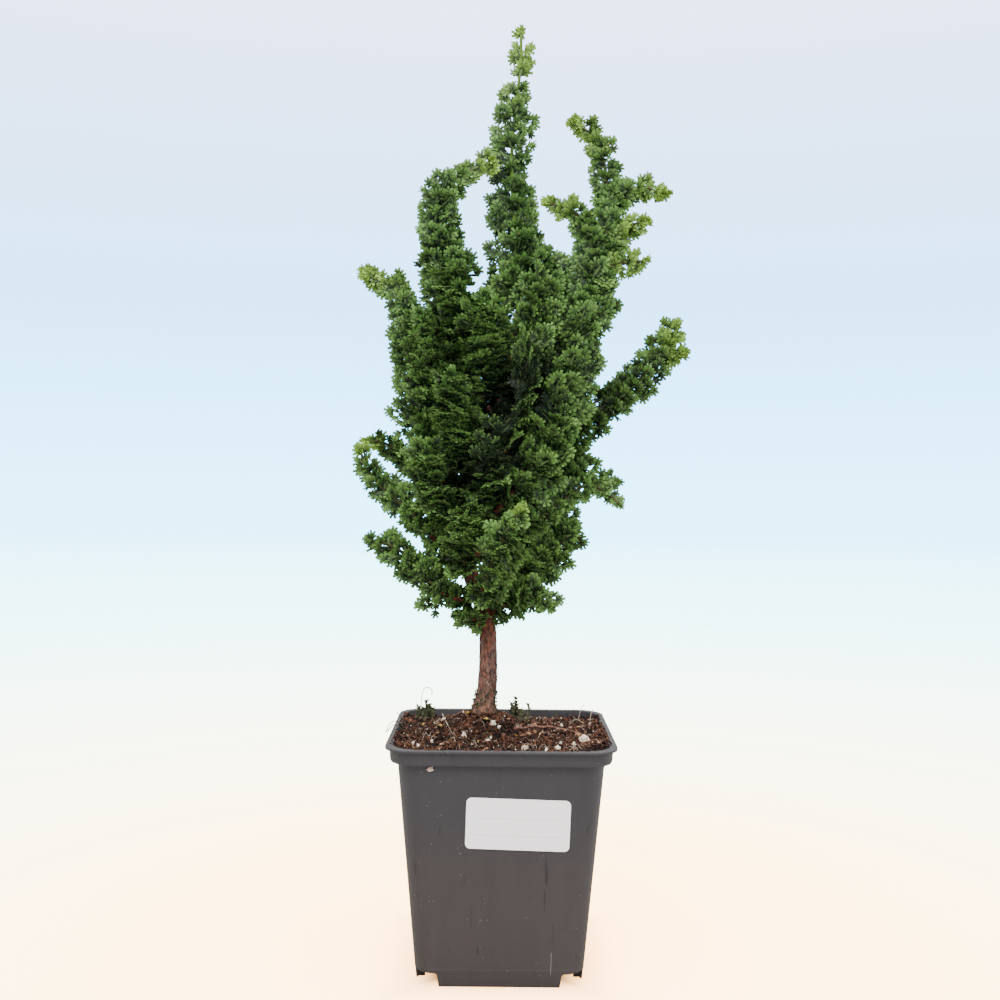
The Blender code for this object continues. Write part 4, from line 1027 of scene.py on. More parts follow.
def point_at(line, distance):
    """(point, direction) at a distance along a line of points."""
    for a, b in zip(line, line[1:]):
        span = (b - a).length
        if distance <= span:
            return a + (b - a) * (distance / span), (b - a).normalized()
        distance -= span
    return line[-1].copy(), (line[-1] - line[-2]).normalized()


def even_points(line, low, high, step):
    """Points from one distance along the line to another, about a step apart."""
    count = max(2, round((high - low) / step) + 1)
    return [point_at(line, low + (high - low) * i / (count - 1))[0] for i in range(count)]


def trunk_radius(height):
    return step_value(TRUNK_TAPER, height)


def trunk_point(line, height):
    """The point of the trunk's middle line at a height."""
    for a, b in zip(line, line[1:]):
        if a.z <= height <= b.z:
            return a + (b - a) * ((height - a.z) / (b.z - a.z))
    return line[-1]


def limb_bare(limb):
    """Length of the limb that is trunk wood: at least out through the trunk's own bark."""
    return max(limb.bare, trunk_radius(limb.routes[0][0][2]) + BARE_OUT)


def crown_limbs(trunk_line):
    """Limbs in a rising spiral. Each runs out to the crown's profile and turns up, as the real ones do."""
    limbs = []
    for index in range(CROWN_LIMBS):
        rng = random.Random(SEED + index)
        share = index / (CROWN_LIMBS - 1)
        start = trunk_point(trunk_line, mix(CROWN_START, share))
        turn = CROWN_TURN + index * GOLDEN_ANGLE
        rise = mix(CROWN_RISE, min(1.0, 1.6 * share)) * rng.uniform(0.9, 1.2)
        top = start.z + rise
        reach = step_value(CROWN_PROFILE, top)
        end = Vector((CROWN_MIDDLE[0] + reach * math.cos(turn),
                      CROWN_MIDDLE[1] + reach * math.sin(turn), top))
        elbow = start.lerp(end, CROWN_ELBOW[0])
        elbow.z = start.z + CROWN_ELBOW[1] * rise
        upturn = end.lerp(elbow, CROWN_UPTURN) - Vector((0, 0, UPTURN_DROP))
        route = (tuple(start), tuple(elbow), tuple(upturn), tuple(end))
        limbs.append(Limb("crown_limb", CROWN_BARE, CROWN_SPRAY, (route,), 0.0))
    return limbs


def cut_line(limb, route):
    """A limb's route in two parts, as points: the bare wood beyond the trunk, and the leafy length."""
    line = curve_through(route)
    first = route is limb.routes[0]
    bare = limb_bare(limb) if first and limb.bare else 0.0
    wood = even_points(line, bare / 2, bare, LINE_STEP) if bare else []
    return wood, even_points(line, bare, line_length(line), LINE_STEP)


def closest(line, others):
    """The least distance between two sets of points."""
    if not line:
        return 1.0
    apart = np.array(line)[:, None, :] - np.array(others)[None, :, :]
    return float(np.sqrt((apart ** 2).sum(axis=2)).min())


def keep_clear(limbs, arms):
    """Leaves out a crown limb whose leafy length would run into another limb."""
    kept = []
    parts = [cut_line(limb, route) for limb in arms for route in limb.routes]
    woods = [p for wood, _ in parts for p in wood]
    leafy = [p for _, leaf in parts for p in leaf]
    for limb in limbs:
        wood, leaf = cut_line(limb, limb.routes[0])
        if min(closest(leaf, leafy), closest(leaf, woods), closest(wood, leafy)) > CROWN_CLEAR:
            kept.append(limb._replace(name=f"crown_limb_{len(kept) + 1:02d}"))
            woods += wood
            leafy += leaf
    return kept


trunk_line = curve_through(TRUNK_ROUTE)
arms = [LEADER, *ARMS]
limbs = arms + keep_clear(crown_limbs(trunk_line), arms)
POT_MIDDLE = Vector((POT_X, POT_Y, 0.0))


def bark_ridges(point):
    """How far the bark stands out at a point."""
    return sum(height * noise.noise(Vector((point.x / width, point.y / width, point.z / length)))
               for width, length, height in BARK_RELIEF)


trunk_points = even_points(trunk_line, BARK_START, line_length(trunk_line), BARK_STEP)
trunk_radii = []
for point in trunk_points:
    flare = FLARE_OUT * max(0.0, 1 - abs(point.z - FLARE_MIDDLE) / FLARE_HALF)
    trunk_radii.append(trunk_radius(point.z) - BARK_THICK + flare)
trunk = strands("trunk_bark", [([p + POT_MIDDLE for p in trunk_points], trunk_radii)], 10)
trunk_axis = np.array([tuple(p + POT_MIDDLE) for p in trunk_points])
for vert in trunk.data.vertices:
    middle = Vector(trunk_axis[np.abs(trunk_axis[:, 2] - vert.co.z).argmin()])
    vert.co += (vert.co - middle).normalized() * bark_ridges(vert.co)

limb_routes = []
for limb in limbs:
    if limb.bare:
        line = curve_through(limb.routes[0])
        stout = len(limb.routes) > 1 or line_length(line) > LONG_LIMB
        thick = STOUT_LIMB if stout else THIN_LIMB
        points = even_points(line, 0.0, limb_bare(limb) + LIMB_UNDER_LEAVES, LIMB_STEP)
        last = len(points) - 1
        radii = [mix((thick, STEM_RADIUS), i / last) * (1 + 0.10 * math.sin(2.3 * i))
                 for i in range(last + 1)]
        limb_routes.append(([p + POT_MIDDLE for p in points], radii))
limb_wood = strands("limb_feet", limb_routes, 2)

# A flake of bark: a thin strip that tapers to both ends and curls away from the wood.
flake = new_piece("flake", bpy.ops.mesh.primitive_cube_add, size=1)
with edit_mode():
    bpy.ops.mesh.select_all(action="SELECT")
    bpy.ops.transform.resize(value=(1, 0.16, 0.028))
    select_by(flake, "faces", lambda f: f.normal.x > 0.9)
    bpy.ops.mesh.extrude_region_move(TRANSFORM_OT_translate={"value": (0.35, 0, 0.06)})
    bpy.ops.transform.resize(value=(1, 0.35, 0.6))
    select_by(flake, "faces", lambda f: f.normal.x < -0.9)
    bpy.ops.mesh.extrude_region_move(TRANSFORM_OT_translate={"value": (-0.30, 0, 0.02)})
    bpy.ops.transform.resize(value=(1, 0.5, 0.7))
flake_points, flake_faces = taken_shape(flake)

rng = random.Random(44)
flakes = Heap()
for index in range(FLAKES):
    height = mix(FLAKED, rng.random() ** 1.15)
    middle = trunk_point(trunk_line, height) + POT_MIDDLE
    turn = rng.uniform(0, math.tau)
    out = Vector((math.cos(turn), math.sin(turn), 0))
    way = Vector((stray(rng, FLAKE_ASKEW), stray(rng, FLAKE_ASKEW), rng.choice((-1, 1))))
    way += out * (rng.uniform(*FLAKE_PEEL) if index % 3 == 0 else 0.0)
    size = rng.uniform(*FLAKE_SIZES)
    side = way.cross(out)
    side *= 1 if way.cross(side).dot(out) > 0 else -1
    spot = middle + out * (trunk_radius(height) - FLAKE_SUNK)
    flakes.add(flake_points * size @ basis(way, side) + np.array(spot), flake_faces)
bark_flakes = flakes.piece("bark_flakes")


def bark_finish(name, red):
    """Weathered bark over red inner bark. Red is the share of it that shows at all heights. Higher up, where
    the foliage shades the wood, the bark is darkened as painted shade.
    """
    bark = Finish(name)
    grain = bark.clouds(1100, 5, bark.stretched(0.38), 0.70)
    plates = bark.clouds(420, 3, bark.stretched(0.55))
    pale = bark.clouds(1500, 3, bark.stretched(0.45))
    shaded = bark.between(bark.axis("Z"), 0.118, 0.150)
    weathered = bark.layers((0.022, 0.011, 0.008), (bark.between(grain, 0.36, 0.64), (0.150, 0.082, 0.058)),
                            (bark.between(pale, 0.60, 0.74) * 0.75, (0.36, 0.26, 0.20)))
    inner = bark.blend(bark.between(grain, 0.35, 0.62), (0.030, 0.010, 0.006), (0.240, 0.066, 0.030))
    share = bark.between(plates, 0.62, 0.42) * 0.45 + shaded * 0.45 + red
    # Painted shade: above the height where the foliage begins, the bark darkens towards near black.
    colour = bark.layers(weathered, (bark.between(share, 0.15, 0.85), inner),
                         (shaded * 0.35, (0.012, 0.006, 0.004)))
    return bark.shade(colour, 0.72 + grain * 0.2, 0.3, (grain * 0.6 + pale * 0.4, 0.0006, 0.9))


# Dry moss that crusts the foot of the trunk.
rng = random.Random(45)
moss_crust = Heap()
for index in range(CRUST_LUMPS):
    height = mix(CRUSTED, rng.random() ** 1.6)
    turn = rng.choice((0.0, math.pi)) + rng.gauss(0, 0.75)
    out = Vector((math.cos(turn), math.sin(turn), 0)) * (trunk_radius(height) + rng.uniform(0.0, 0.0005))
    stretch = CRUST_SHAPE * rng.uniform(*CRUST_SIZES)
    place = trunk_point(trunk_line, height) + POT_MIDDLE + out
    moss_crust.scatter(crumb_shapes[index % 4], stretch, place, rng)
finished(moss_crust.piece("moss_crust", 40), moss_green)

trunk_finish = bark_finish("weathered_bark", 0.0)
finished(trunk, trunk_finish, ["trunk_and_limbs"])
finished(limb_wood, bark_finish("limb_bark", 0.4))
finished(bark_flakes, trunk_finish)


# Foliage
# Living sprays of scale leaves. Pairs of tiny scales clasp each flattened shoot, the shoots fork in one
# plane into a fan, and the fans stand in turn round each leafy stem. A stem and its fans are one piece.

# A rib: a slender flattened shoot of clasping scales, one unit long.
rib = new_piece("rib", bpy.ops.mesh.primitive_cylinder_add, vertices=4, radius=0.5, depth=0.58,
                rotation=(0, math.pi / 2, 0), location=(0.29, 0, 0))
with edit_mode():
    select_by(rib, "faces", lambda f: f.normal.x > 0.9)
    bpy.ops.mesh.extrude_region_move(TRANSFORM_OT_translate={"value": (0.42, 0, 0)})
    bpy.ops.mesh.merge(type="CENTER")
rib_points, rib_faces = taken_shape(rib)

# A hand: the end of a shoot, a small flat palm of scales with five blunt fingers, one unit long from its
# wrist. Half its outline, from the middle finger round to the wrist, with how light each point is: light at
# the fingertips where the growth is fresh, and darker in the notches and at the wrist as painted shade.
HALF_HAND = ((1.00, 0.13, 0.03, 1.0), (0.56, 0.14, -0.03, 0.10), (0.86, 0.34, -0.09, 1.0),
             (0.68, 0.54, -0.12, 1.0), (0.34, 0.22, -0.02, 0.05), (0.38, 0.54, 0.05, 1.0),
             (0.16, 0.46, 0.02, 0.8), (0.00, 0.09, 0.00, 0.0))
HAND_OUTLINE = HALF_HAND + tuple((x, -y, z, fresh) for x, y, z, fresh in reversed(HALF_HAND))
PALM_AHEAD = 0.42
PALM_FRESH_AND_SHADE = 0.45
hand = new_piece("hand", bpy.ops.mesh.primitive_cone_add, vertices=len(HAND_OUTLINE), radius1=0.5,
                 radius2=0.0, depth=0.26, end_fill_type="TRIFAN")
corners = [vert.index for vert in hand.data.vertices if vert.co.xy.length > 0.25]
corners.sort(key=lambda i: (math.atan2(*hand.data.vertices[i].co.yx) + 0.01) % math.tau)
moves = {corner: Vector(point[:3]) - hand.data.vertices[corner].co
         for corner, point in zip(corners, HAND_OUTLINE)}
with edit_mode():
    select_by(hand, "verts", lambda v: v.index not in moves)
    bpy.ops.transform.translate(value=(PALM_AHEAD, 0, 0))
    for corner, move in moves.items():
        select_by(hand, "verts", lambda v: v.index == corner)
        bpy.ops.transform.translate(value=move)
hand_points, hand_faces = taken_shape(hand)
# Painted shade: the palm, the notches and the wrist get lower values than the fingertips.
hand_fresh_and_shade = np.full(len(hand_points), PALM_FRESH_AND_SHADE)
hand_fresh_and_shade[corners] = [point[3] for point in HAND_OUTLINE]

HAND_LENGTH = 0.0043
HAND_PITCH = 0.0022
RIB_WIDTH = 0.0010
RIB_PITCH = 0.0018
FORK_ANGLE = 0.85
FAN_SHARE = 0.74
FORK_LIFT = (-0.25, 0.55)
SHORTEST_FORK = 0.0024
TIP_CLEAR = 0.0022
# How hands and forks vary in size, how far a fork's side hands turn, and how bright the hands are.
HAND_VARIETY = (0.85, 1.1)
SIDE_HAND_VARIETY = (0.8, 1.0)
SIDE_HAND_TURNS = (0.45, 0.8)
SIDE_HAND_BRIGHT = 0.85
FORK_VARIETY = (0.80, 1.1)
FIRST_FORK_BRIGHT = 0.65
HAND_ROLL = 0.55

# A hand of a fan: the place of its wrist, its turn within the fan's flat, its lift out of it, its length,
# and how bright it is.
Shoot = namedtuple("Shoot", "place turn lift length bright")


def heading(turn, lift):
    return Vector((math.cos(lift) * math.cos(turn), math.cos(lift) * math.sin(turn), math.sin(lift)))


def fork(hands, place, turn, reach, rng, bright):
    """A row of hands that lifts out of the fan's flat. They point left and right in turn, the last ahead."""
    size = min(HAND_LENGTH * rng.uniform(*HAND_VARIETY), 1.3 * reach)
    run = max(0.0, reach - 0.8 * size)
    steps = round(run / HAND_PITCH)
    side = rng.choice((-1, 1))
    lift = rng.uniform(*FORK_LIFT)
    for index in range(steps):
        start = place + heading(turn, lift) * run * index / steps
        hands.append(Shoot(start, turn + side * rng.uniform(*SIDE_HAND_TURNS), lift + stray(rng, 0.4),
                           size * rng.uniform(*SIDE_HAND_VARIETY), SIDE_HAND_BRIGHT * bright))
        side = -side
    hands.append(Shoot(place + heading(turn, lift) * run, turn + stray(rng, 0.1), lift, size, bright))


def plan_spray(length, seed):
    """The hands of a fan: a slender rib forks to both sides, each fork a row of them, and ends in one."""
    rng = random.Random(seed)
    hands = []
    x = 0.6 * RIB_PITCH
    side = rng.choice((-1, 1))
    while x < length - TIP_CLEAR:
        out = side * (FORK_ANGLE + rng.uniform(-0.12, 0.15))
        reach = max(SHORTEST_FORK, (length - x) * FAN_SHARE * rng.uniform(*FORK_VARIETY))
        fork(hands, Vector((x, 0, 0)), out, reach, rng, mix((FIRST_FORK_BRIGHT, 1.0), x / length))
        side = -side
        x += RIB_PITCH
    size = min(HAND_LENGTH, length)
    hands.append(Shoot(Vector((length - size, 0, 0)), stray(rng, 0.2), 0.0, size, 1.0))
    return hands


def grow_spray(length, seed):
    """A spray in its own frame: X along it, Y across, Z its upper face."""
    rng = random.Random(seed)
    spray = Heap()
    rib_size = np.array([max(length - 0.5 * HAND_LENGTH, 0.5 * length), RIB_WIDTH, RIB_WIDTH * 0.7])
    spray.add(rib_points * rib_size, rib_faces, bright=0.5, shade=0.5, rib=1.0)
    for item in plan_spray(length, seed):
        along = heading(item.turn, item.lift)
        roll = Matrix.Rotation(stray(rng, HAND_ROLL), 3, along)
        across = roll @ Vector((-math.sin(item.turn), math.cos(item.turn), 0))
        points = hand_points * item.length @ basis(along, across) + np.array(item.place)
        spray.add(points, hand_faces, bright=item.bright * hand_fresh_and_shade, shade=rng.random(), rib=0.0)
    return spray.arrays()


SPRAY_LENGTHS = (0.0030, 0.0040, 0.0055, 0.0075, 0.0095, 0.0115, 0.0140, 0.0170)
SPRAY_KINDS = 4
sprays = {}
for length in SPRAY_LENGTHS:
    sprays[length] = [grow_spray(length, 100 * kind + round(length * 1e4)) for kind in range(SPRAY_KINDS)]

STEM_STEP = 0.0020
STEM_TIP_RADIUS = 0.0006
LAST_PAIR = 0.0012
END_SPRAY = 0.0008
INSIDE_BOX = 0.0002
PAIR_SPACING = 0.17
CLOSEST_PAIRS = 0.0024
CLOSEST_CROWN_PAIRS = 0.0023
FAN_VARIETY = (0.62, 1.22)
YOUNG_TINT = 0.90
CROWN_END_SPRAY = 0.65
FAN_LEAN = math.radians(55)
# How far the turn and the lean of a fan stray, on an arm and in the crown, and how far it rolls.
ARM_STRAY = (0.45, 0.30)
CROWN_STRAY = (0.35, 0.25)
ARM_ROLL = 0.6
SHELF_ROLL = 0.45
UPRIGHT_ROLL = (0.6, 1.6)
FRONT = Vector((0, -1, 0))
UP = Vector((0, 0, 1))
# The crown's fans lie in drooping shelves on its left, and stand upright on its right.
TURN_OVER = (-0.010, 0.010)
SHELF_DROOP = 0.30
SHELF_OUT = (0.65, 0.75)
UPRIGHT_OUT = (0.35, 0.15)
# Between the crown's two masses the fans stay short, and their colour is darkened as painted shade. The
# hollow slants up to the right.
HOLLOW_FOOT = (-0.0074, 0.205)
HOLLOW_SLANT = 0.445
HOLLOW_HALF = (0.0125, 0.036)
HOLLOW_RISE = 0.016
HOLLOW_BACK = 0.020
HOLLOW_FRONT = -0.010
LOST_IN_HOLLOW = 0.80
HOLLOW_SHORTENS = 0.45
HOLLOW_PAINTED_SHADE = 0.95
HOLLOW_WOOD_PAINTED_SHADE = 0.85
# Low on the left the fans before the trunk are lost, and its red wood shows.
WOOD_SHOWS = Vector((-0.0170, 0.0, 0.1655))
WOOD_WINDOW = 0.0070
# How far a fan stretches from its kind's length, and how it is cupped.
STRETCH = (0.8, 1.2)
CUPS = (0.1, 0.5)
CUP_LENGTH = 0.004
CUP_ALONG = 0.35
GAP_VARIETY = (0.75, 1.25)
TINT_VARIETY = (0.6, 1.1)
END_TURNS = (0.0, 1.6)
# The leader's pairs: their distances at shares of the way up it, as multiples of the usual distance.
LEADER_GAPS = ((0.0, 1.1), (0.52, 1.2), (0.60, 1.8), (0.70, 2.3), (1.0, 2.3))
LEADER_GAP_VARIETY = (0.92, 1.08)
LEADER_TIP = 1.5
# How much of a limb's bare foot carries fans, and how long they are there.
LEAFY_FOOT = 0.85
FOOT_FANS = 0.75


def arm_fan(way, index, half, rng):
    """The directions along and across a fan of an arm. Two pairs in three lie in the arm's flat frond."""
    flat = way.cross(FRONT).normalized()
    forward = index % 3 == 2
    turn = (0.5 * forward + half) * math.pi + stray(rng, ARM_STRAY[0])
    out = Matrix.Rotation(turn, 3, way) @ flat
    lean = FAN_LEAN + stray(rng, ARM_STRAY[1])
    along = (way * math.cos(lean) + out * math.sin(lean)).normalized()
    roll = stray(rng, ARM_ROLL) + (0.0 if forward else 0.5 * math.pi)
    return along, Matrix.Rotation(roll, 3, along) @ way.cross(out)


def crown_fan(place, way, index, half, rng):
    """The directions along and across a fan of the crown, by its side of the tree."""
    right = max(0.0, min(1.0, (place.x - TURN_OVER[0]) / (TURN_OVER[1] - TURN_OVER[0])))
    turn = (0.5 * index + half) * math.pi + stray(rng, CROWN_STRAY[0])
    out = Matrix.Rotation(turn, 3, way) @ way.orthogonal().normalized()
    lean = FAN_LEAN + stray(rng, CROWN_STRAY[1])
    free = way * math.cos(lean) + out * math.sin(lean)
    outward = Vector((place.x - CROWN_MIDDLE[0], place.y - CROWN_MIDDLE[1], 0)).normalized()
    shelf = free * SHELF_OUT[0] + outward * SHELF_OUT[1] - UP * SHELF_DROOP
    upright = free + outward * UPRIGHT_OUT[0] + UP * UPRIGHT_OUT[1]
    along = shelf.lerp(upright, right).normalized()
    roll = mix((stray(rng, SHELF_ROLL), rng.uniform(*UPRIGHT_ROLL) * rng.choice((-1, 1))), right)
    return along, Matrix.Rotation(roll, 3, along) @ (UP + 0.01 * FRONT).cross(along).normalized()


def in_hollow(tip):
    """How deep a fan's tip lies in the dark hollow at the front of the crown, from 0 to 1."""
    middle = HOLLOW_FOOT[0] + HOLLOW_SLANT * (tip.z - HOLLOW_FOOT[1])
    aside = abs(tip.x - middle) / HOLLOW_HALF[0]
    above = abs(tip.z - HOLLOW_FOOT[1] - HOLLOW_RISE) / HOLLOW_HALF[1]
    return max(0.0, 1 - max(aside, above) ** 2) if tip.y < HOLLOW_BACK else 0.0


low_corner = np.array(cad_box[0]) + INSIDE_BOX
high_corner = np.array(cad_box[1]) - INSIDE_BOX


def add_spray(heap, foot, along, across, length, rng, fresh):
    """Sets a copy of the fan nearest in length at a stem, cupped towards its upper face."""
    tip = foot + along * length
    if tip.y < WOOD_SHOWS.y and (tip.xz - WOOD_SHOWS.xz).length < WOOD_WINDOW:
        return
    hidden = in_hollow(tip)
    if foot.y < HOLLOW_FRONT and rng.random() < LOST_IN_HOLLOW * hidden:
        return
    length *= 1 - HOLLOW_SHORTENS * hidden * (foot.y < HOLLOW_FRONT)
    nearest = min(SPRAY_LENGTHS, key=lambda size: abs(size - length))
    points, faces, values = sprays[nearest][rng.randrange(SPRAY_KINDS)]
    share = max(STRETCH[0], min(STRETCH[1], length / nearest))
    sized = points * np.array([share, share, 1.0])
    cup = rng.uniform(*CUPS) / max(length, CUP_LENGTH)
    sized[:, 2] += cup * (sized[:, 0] ** 2 * CUP_ALONG + sized[:, 1] ** 2)
    placed = sized @ basis(along, across) + np.array(foot + POT_MIDDLE)
    placed = np.clip(placed, low_corner, high_corner)
    # Painted shade: fans deep in the hollow are darkened.
    painted_hollow_dim = 1 - HOLLOW_PAINTED_SHADE * hidden
    shade = 0.6 * values["shade"] + 0.4 * rng.random()
    heap.add(placed, faces, bright=values["bright"] * painted_hollow_dim, shade=shade * painted_hollow_dim, fresh=fresh, rib=values["rib"],
             wood=0.0)


def grow_stem(heap, limb, line, bare, reach, rng):
    """Adds one stem of a limb with its fans to the heap."""
    crown = limb.name.startswith("crown")
    leader = limb.name == "leader"
    high = line_length(line)
    stem_points = even_points(line, bare, high, STEM_STEP)
    last = len(stem_points) - 1
    radii = [mix((STEM_RADIUS, STEM_TIP_RADIUS), i / last) for i in range(last + 1)]
    points, faces = taken_shape(strands("stem", [([p + POT_MIDDLE for p in stem_points], radii)]))
    # Painted shade: in the hollow the stems lose their wood colour and fall to the leaves' near-black green.
    wood = [1 - HOLLOW_WOOD_PAINTED_SHADE * in_hollow(Vector(point) - POT_MIDDLE) for point in points]
    heap.add(points, faces, bright=0.2, shade=0.3, fresh=float(leader), rib=0.0, wood=wood)
    distance = bare * (1.0 if crown else 1 - LEAFY_FOOT) + STEM_STEP
    index = 0
    while distance < high - LAST_PAIR:
        middle, way = point_at(line, distance)
        share = distance / high
        here = step_value(reach, share) * (1.0 if distance >= bare else FOOT_FANS)
        young = YOUNG_TINT * max(0.0, 1 - (high - distance) / limb.young) if limb.young else 0.0
        for half in (0, 1):
            fan = crown_fan(middle, way, index, half, rng) if crown else arm_fan(way, index, half, rng)
            length = here / math.sin(FAN_LEAN) * rng.uniform(*FAN_VARIETY)
            add_spray(heap, middle, *fan, length, rng, young * rng.uniform(*TINT_VARIETY))
        gap = max(CLOSEST_CROWN_PAIRS if crown else CLOSEST_PAIRS, PAIR_SPACING * here)
        if leader:
            gap *= step_value(LEADER_GAPS, share)
        distance += gap * rng.uniform(*(LEADER_GAP_VARIETY if leader else GAP_VARIETY))
        index += 1
    end, way = point_at(line, high - END_SPRAY)
    for turn in END_TURNS:
        across = Matrix.Rotation(turn + stray(rng, 0.3), 3, way) @ way.orthogonal()
        length = reach[-1][1] * (CROWN_END_SPRAY if crown else LEADER_TIP if leader else 1.0)
        add_spray(heap, end, way, across, length, rng, YOUNG_TINT if limb.young else 0.0)


# Scale leaves: deep green, lighter towards each shoot's tip, yellow-green where the growth is fresh. The
# green falls to near black where the bright value is low, which is painted shade in the hands' notches and
# wrists and in the crown's hollow.
leaf = Finish("scale_leaves")
bright, shade, fresh, wood, rib = [leaf.node("Attribute", {"attribute_name": name}, output="Fac")
                                   for name in ("bright", "shade", "fresh", "wood", "rib")]
seams = leaf.between(leaf.cells(1300, "DISTANCE_TO_EDGE"), 0.10, 0.02)
light = leaf.between(bright * 0.80 + shade * 0.35 + leaf.clouds(60, 2) * 0.2, 0.36, 1.08)
young = leaf.between(fresh * (0.15 + bright * 0.85) + shade * 0.10, 0.12, 0.90)
burnt = leaf.between(leaf.clouds(210, 2), 0.70, 0.76) * leaf.between(shade, 0.55, 0.8)
stem = leaf.blend(fresh, (0.045, 0.045, 0.015), (0.090, 0.160, 0.022))
colour = leaf.layers((0.003, 0.008, 0.003), (light, (0.112, 0.220, 0.046)), (young, (0.190, 0.310, 0.036)),
                     (seams * 0.15, (0.12, 0.19, 0.09)), (rib * 0.55, (0.105, 0.150, 0.060)),
                     (burnt * 0.6, (0.22, 0.105, 0.030)), (wood, stem))
scale_leaves = leaf.shade(colour, 0.52 + shade * 0.15, 0.20, (1 - leaf.cells(1300), 0.00035, 0.5))

for number, limb in enumerate(limbs):
    rng = random.Random(900 + number)
    heap = Heap()
    for branch, route in enumerate(limb.routes):
        main = branch == 0
        bare = limb_bare(limb) + GAP if limb.bare and main else 0.0
        side = THIN_SIDE_REACH if limb.name == "right_twig" else SIDE_REACH
        grow_stem(heap, limb, curve_through(route), bare, limb.reach if main else side, rng)
    finished(heap.piece(limb.name + "_sprays", 50), scale_leaves, [limb.name])


# Studio
# A pale floor that runs out into the backdrop, soft light all round, and the camera where the photograph was
# taken.

CAMERA_PLACE = Vector((-0.00145, -0.486, 0.1906))
CAMERA_PITCH = math.atan(-4 / 1170)
CAMERA_ROLL = math.atan(0.0096)
CAMERA_LENS = 42.12
BACKDROP_STRENGTH = 14.0
# The backdrop's colour at heights above the camera's level, as a share of the distance to it.
SKY = ((0.0, (0.136, 0.429, 0.657)), (0.085, (0.107, 0.336, 0.550)), (0.150, (0.107, 0.279, 0.471)),
       (0.270, (0.157, 0.250, 0.400)), (0.380, (0.221, 0.261, 0.386)))
# The floor's colour at distances from the plant, as shares of the distance where it meets the backdrop.
FLOOR_FAR = 6.0
FLOOR = ((0.0, (0.850, 0.400, 0.120)), (0.026, (0.740, 0.460, 0.170)), (0.056, (0.580, 0.530, 0.320)),
         (0.108, (0.420, 0.530, 0.440)), (0.227, (0.230, 0.520, 0.570)), (0.730, (0.170, 0.490, 0.620)),
         (1.0, (0.136, 0.429, 0.657)))
ROOM_STRENGTH = 1.0
FLOOR_RADIUS = 8.0
LAMPS = (("key", (-0.45, -0.85, 1.10), 0.7, 30, (1.0, 0.98, 0.95)),
         ("fill", (0.85, -0.75, 0.6), 0.8, 12, (0.96, 0.98, 1.0)),
         ("top", (0.05, 0.1, 1.3), 0.8, 30, (1.0, 1.0, 1.0)))
LAMPS_AIM = Vector((0, 0, 0.18))


def colour_ramp(nodes, stops):
    """A colour ramp node with a colour at each place."""
    ramp = nodes.new("ShaderNodeValToRGB")
    elements = ramp.color_ramp.elements
    for index, (place, colour) in enumerate(stops):
        stop = elements[index] if index < 2 else elements.new(place)
        stop.position = place
        stop.color = (*colour, 1.0)
    return ramp


floor = new_piece("floor", bpy.ops.mesh.primitive_circle_add, vertices=96, radius=FLOOR_RADIUS,
                  fill_type="NGON")
ground = Finish("floor")
tree = ground.material.node_tree
from_plant = ground.node("VectorMath", {"operation": "LENGTH"}, {0: ground.place}, "Value")
floor_ramp = colour_ramp(tree.nodes, FLOOR)
ground.feed(floor_ramp.inputs[0], from_plant * (1 / FLOOR_FAR))
seen = ground.node("LightPath", output="Is Camera Ray")
from_sides = {0: abs(ground.axis("X") - POT_X), 1: abs(ground.axis("Y") - POT_Y)}
from_pot = ground.node("Math", {"operation": "MAXIMUM"}, from_sides)
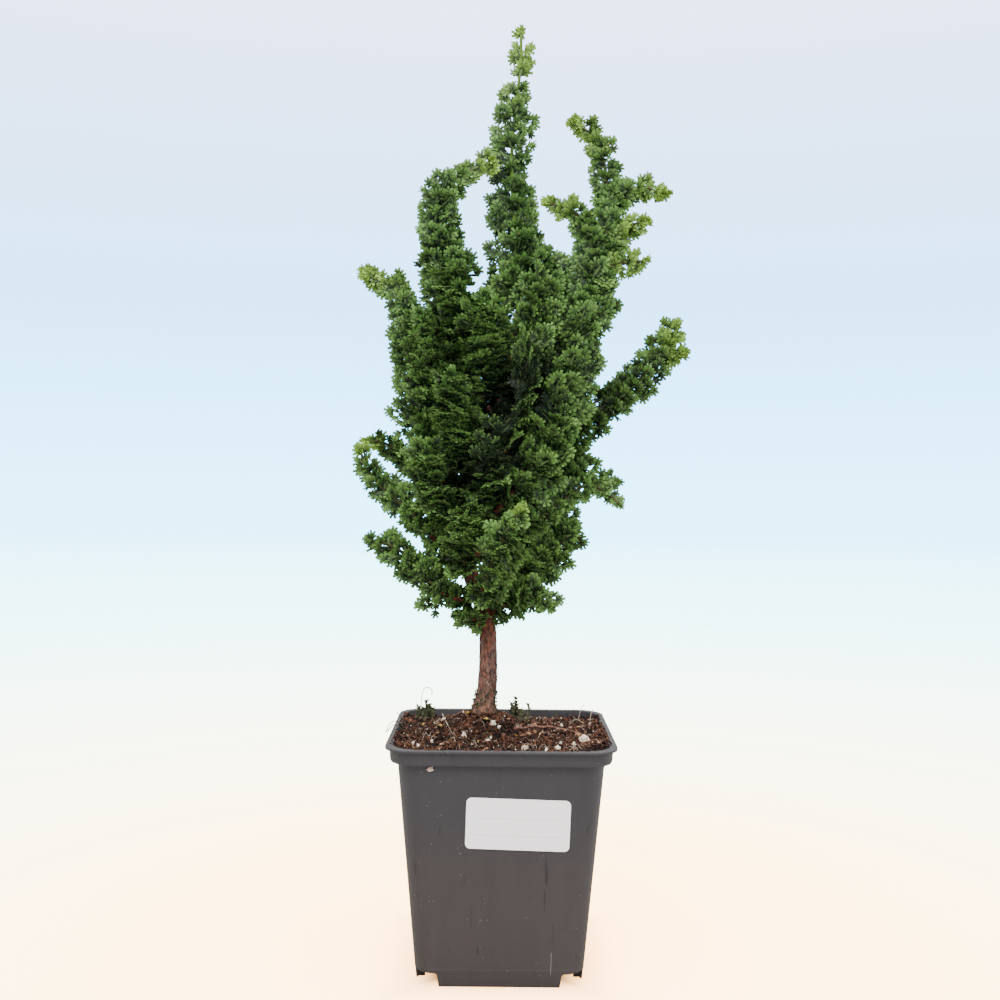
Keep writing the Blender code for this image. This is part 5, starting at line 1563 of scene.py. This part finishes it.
# Painted contact shadow: the camera's view of the floor stays dim under the pot and just round its foot.
painted_shadow_factor = ground.between(from_pot, FOOT_HALF - 0.008, FOOT_HALF + 0.022) * 0.55 + 0.45
painted_shadow_factor = painted_shadow_factor * ground.between(from_pot, FOOT_HALF - 0.012, FOOT_HALF + 0.001)
glow = ground.node("Emission", {}, {"Color": Wire(ground, floor_ramp.outputs[0]),
                                    "Strength": seen * painted_shadow_factor * BACKDROP_STRENGTH})
matt = ground.clouds(14, 3)
ground.shade(ground.blend(matt, (0.42, 0.39, 0.36), (0.45, 0.42, 0.39)), 0.8, 0.1)
both = ground.node("AddShader", {}, {0: Wire(ground, ground.shader.outputs[0]), 1: glow})
backdrop = ground.node("Emission", {}, {"Color": FLOOR[-1][1], "Strength": BACKDROP_STRENGTH})
edge = ground.between(from_plant, 1.5, FLOOR_FAR)
surface_mix = ground.node("MixShader", {}, {0: edge, 1: both, 2: backdrop})
tree.links.new(surface_mix.socket, tree.nodes["Material Output"].inputs["Surface"])
floor.data.materials.append(ground.material)

world = bpy.data.worlds.new("studio")
world.use_nodes = True
nodes = world.node_tree.nodes
links = world.node_tree.links
sky = nodes["Background"]
room = nodes.new("ShaderNodeBackground")
room.inputs["Strength"].default_value = ROOM_STRENGTH
sky.inputs["Strength"].default_value = BACKDROP_STRENGTH
sky_ramp = colour_ramp(nodes, SKY)
looking = nodes.new("ShaderNodeSeparateXYZ")
links.new(nodes.new("ShaderNodeTexCoord").outputs["Generated"], looking.inputs[0])
links.new(looking.outputs["Z"], sky_ramp.inputs[0])
links.new(sky_ramp.outputs[0], sky.inputs["Color"])
choose = nodes.new("ShaderNodeMixShader")
links.new(nodes.new("ShaderNodeLightPath").outputs["Is Camera Ray"], choose.inputs[0])
links.new(room.outputs[0], choose.inputs[1])
links.new(sky.outputs[0], choose.inputs[2])
links.new(choose.outputs[0], nodes["World Output"].inputs["Surface"])
bpy.context.scene.world = world

for name, place, size, energy, colour in LAMPS:
    data = bpy.data.lights.new(name, "AREA")
    data.size = size
    data.energy = energy
    data.color = colour
    lamp = linked(name, data)
    lamp.location = place
    lamp.rotation_euler = (LAMPS_AIM - Vector(place)).to_track_quat("-Z", "Y").to_euler()

camera = linked("camera", bpy.data.cameras.new("camera"))
camera.data.lens = CAMERA_LENS
camera.data.sensor_width = 36
camera.location = CAMERA_PLACE + POT_MIDDLE
camera.rotation_euler = (Matrix.Rotation(math.radians(90) + CAMERA_PITCH, 3, "X")
                         @ Matrix.Rotation(CAMERA_ROLL, 3, "Z")).to_euler()
bpy.context.scene.camera = camera

bpy.context.view_layer.update()
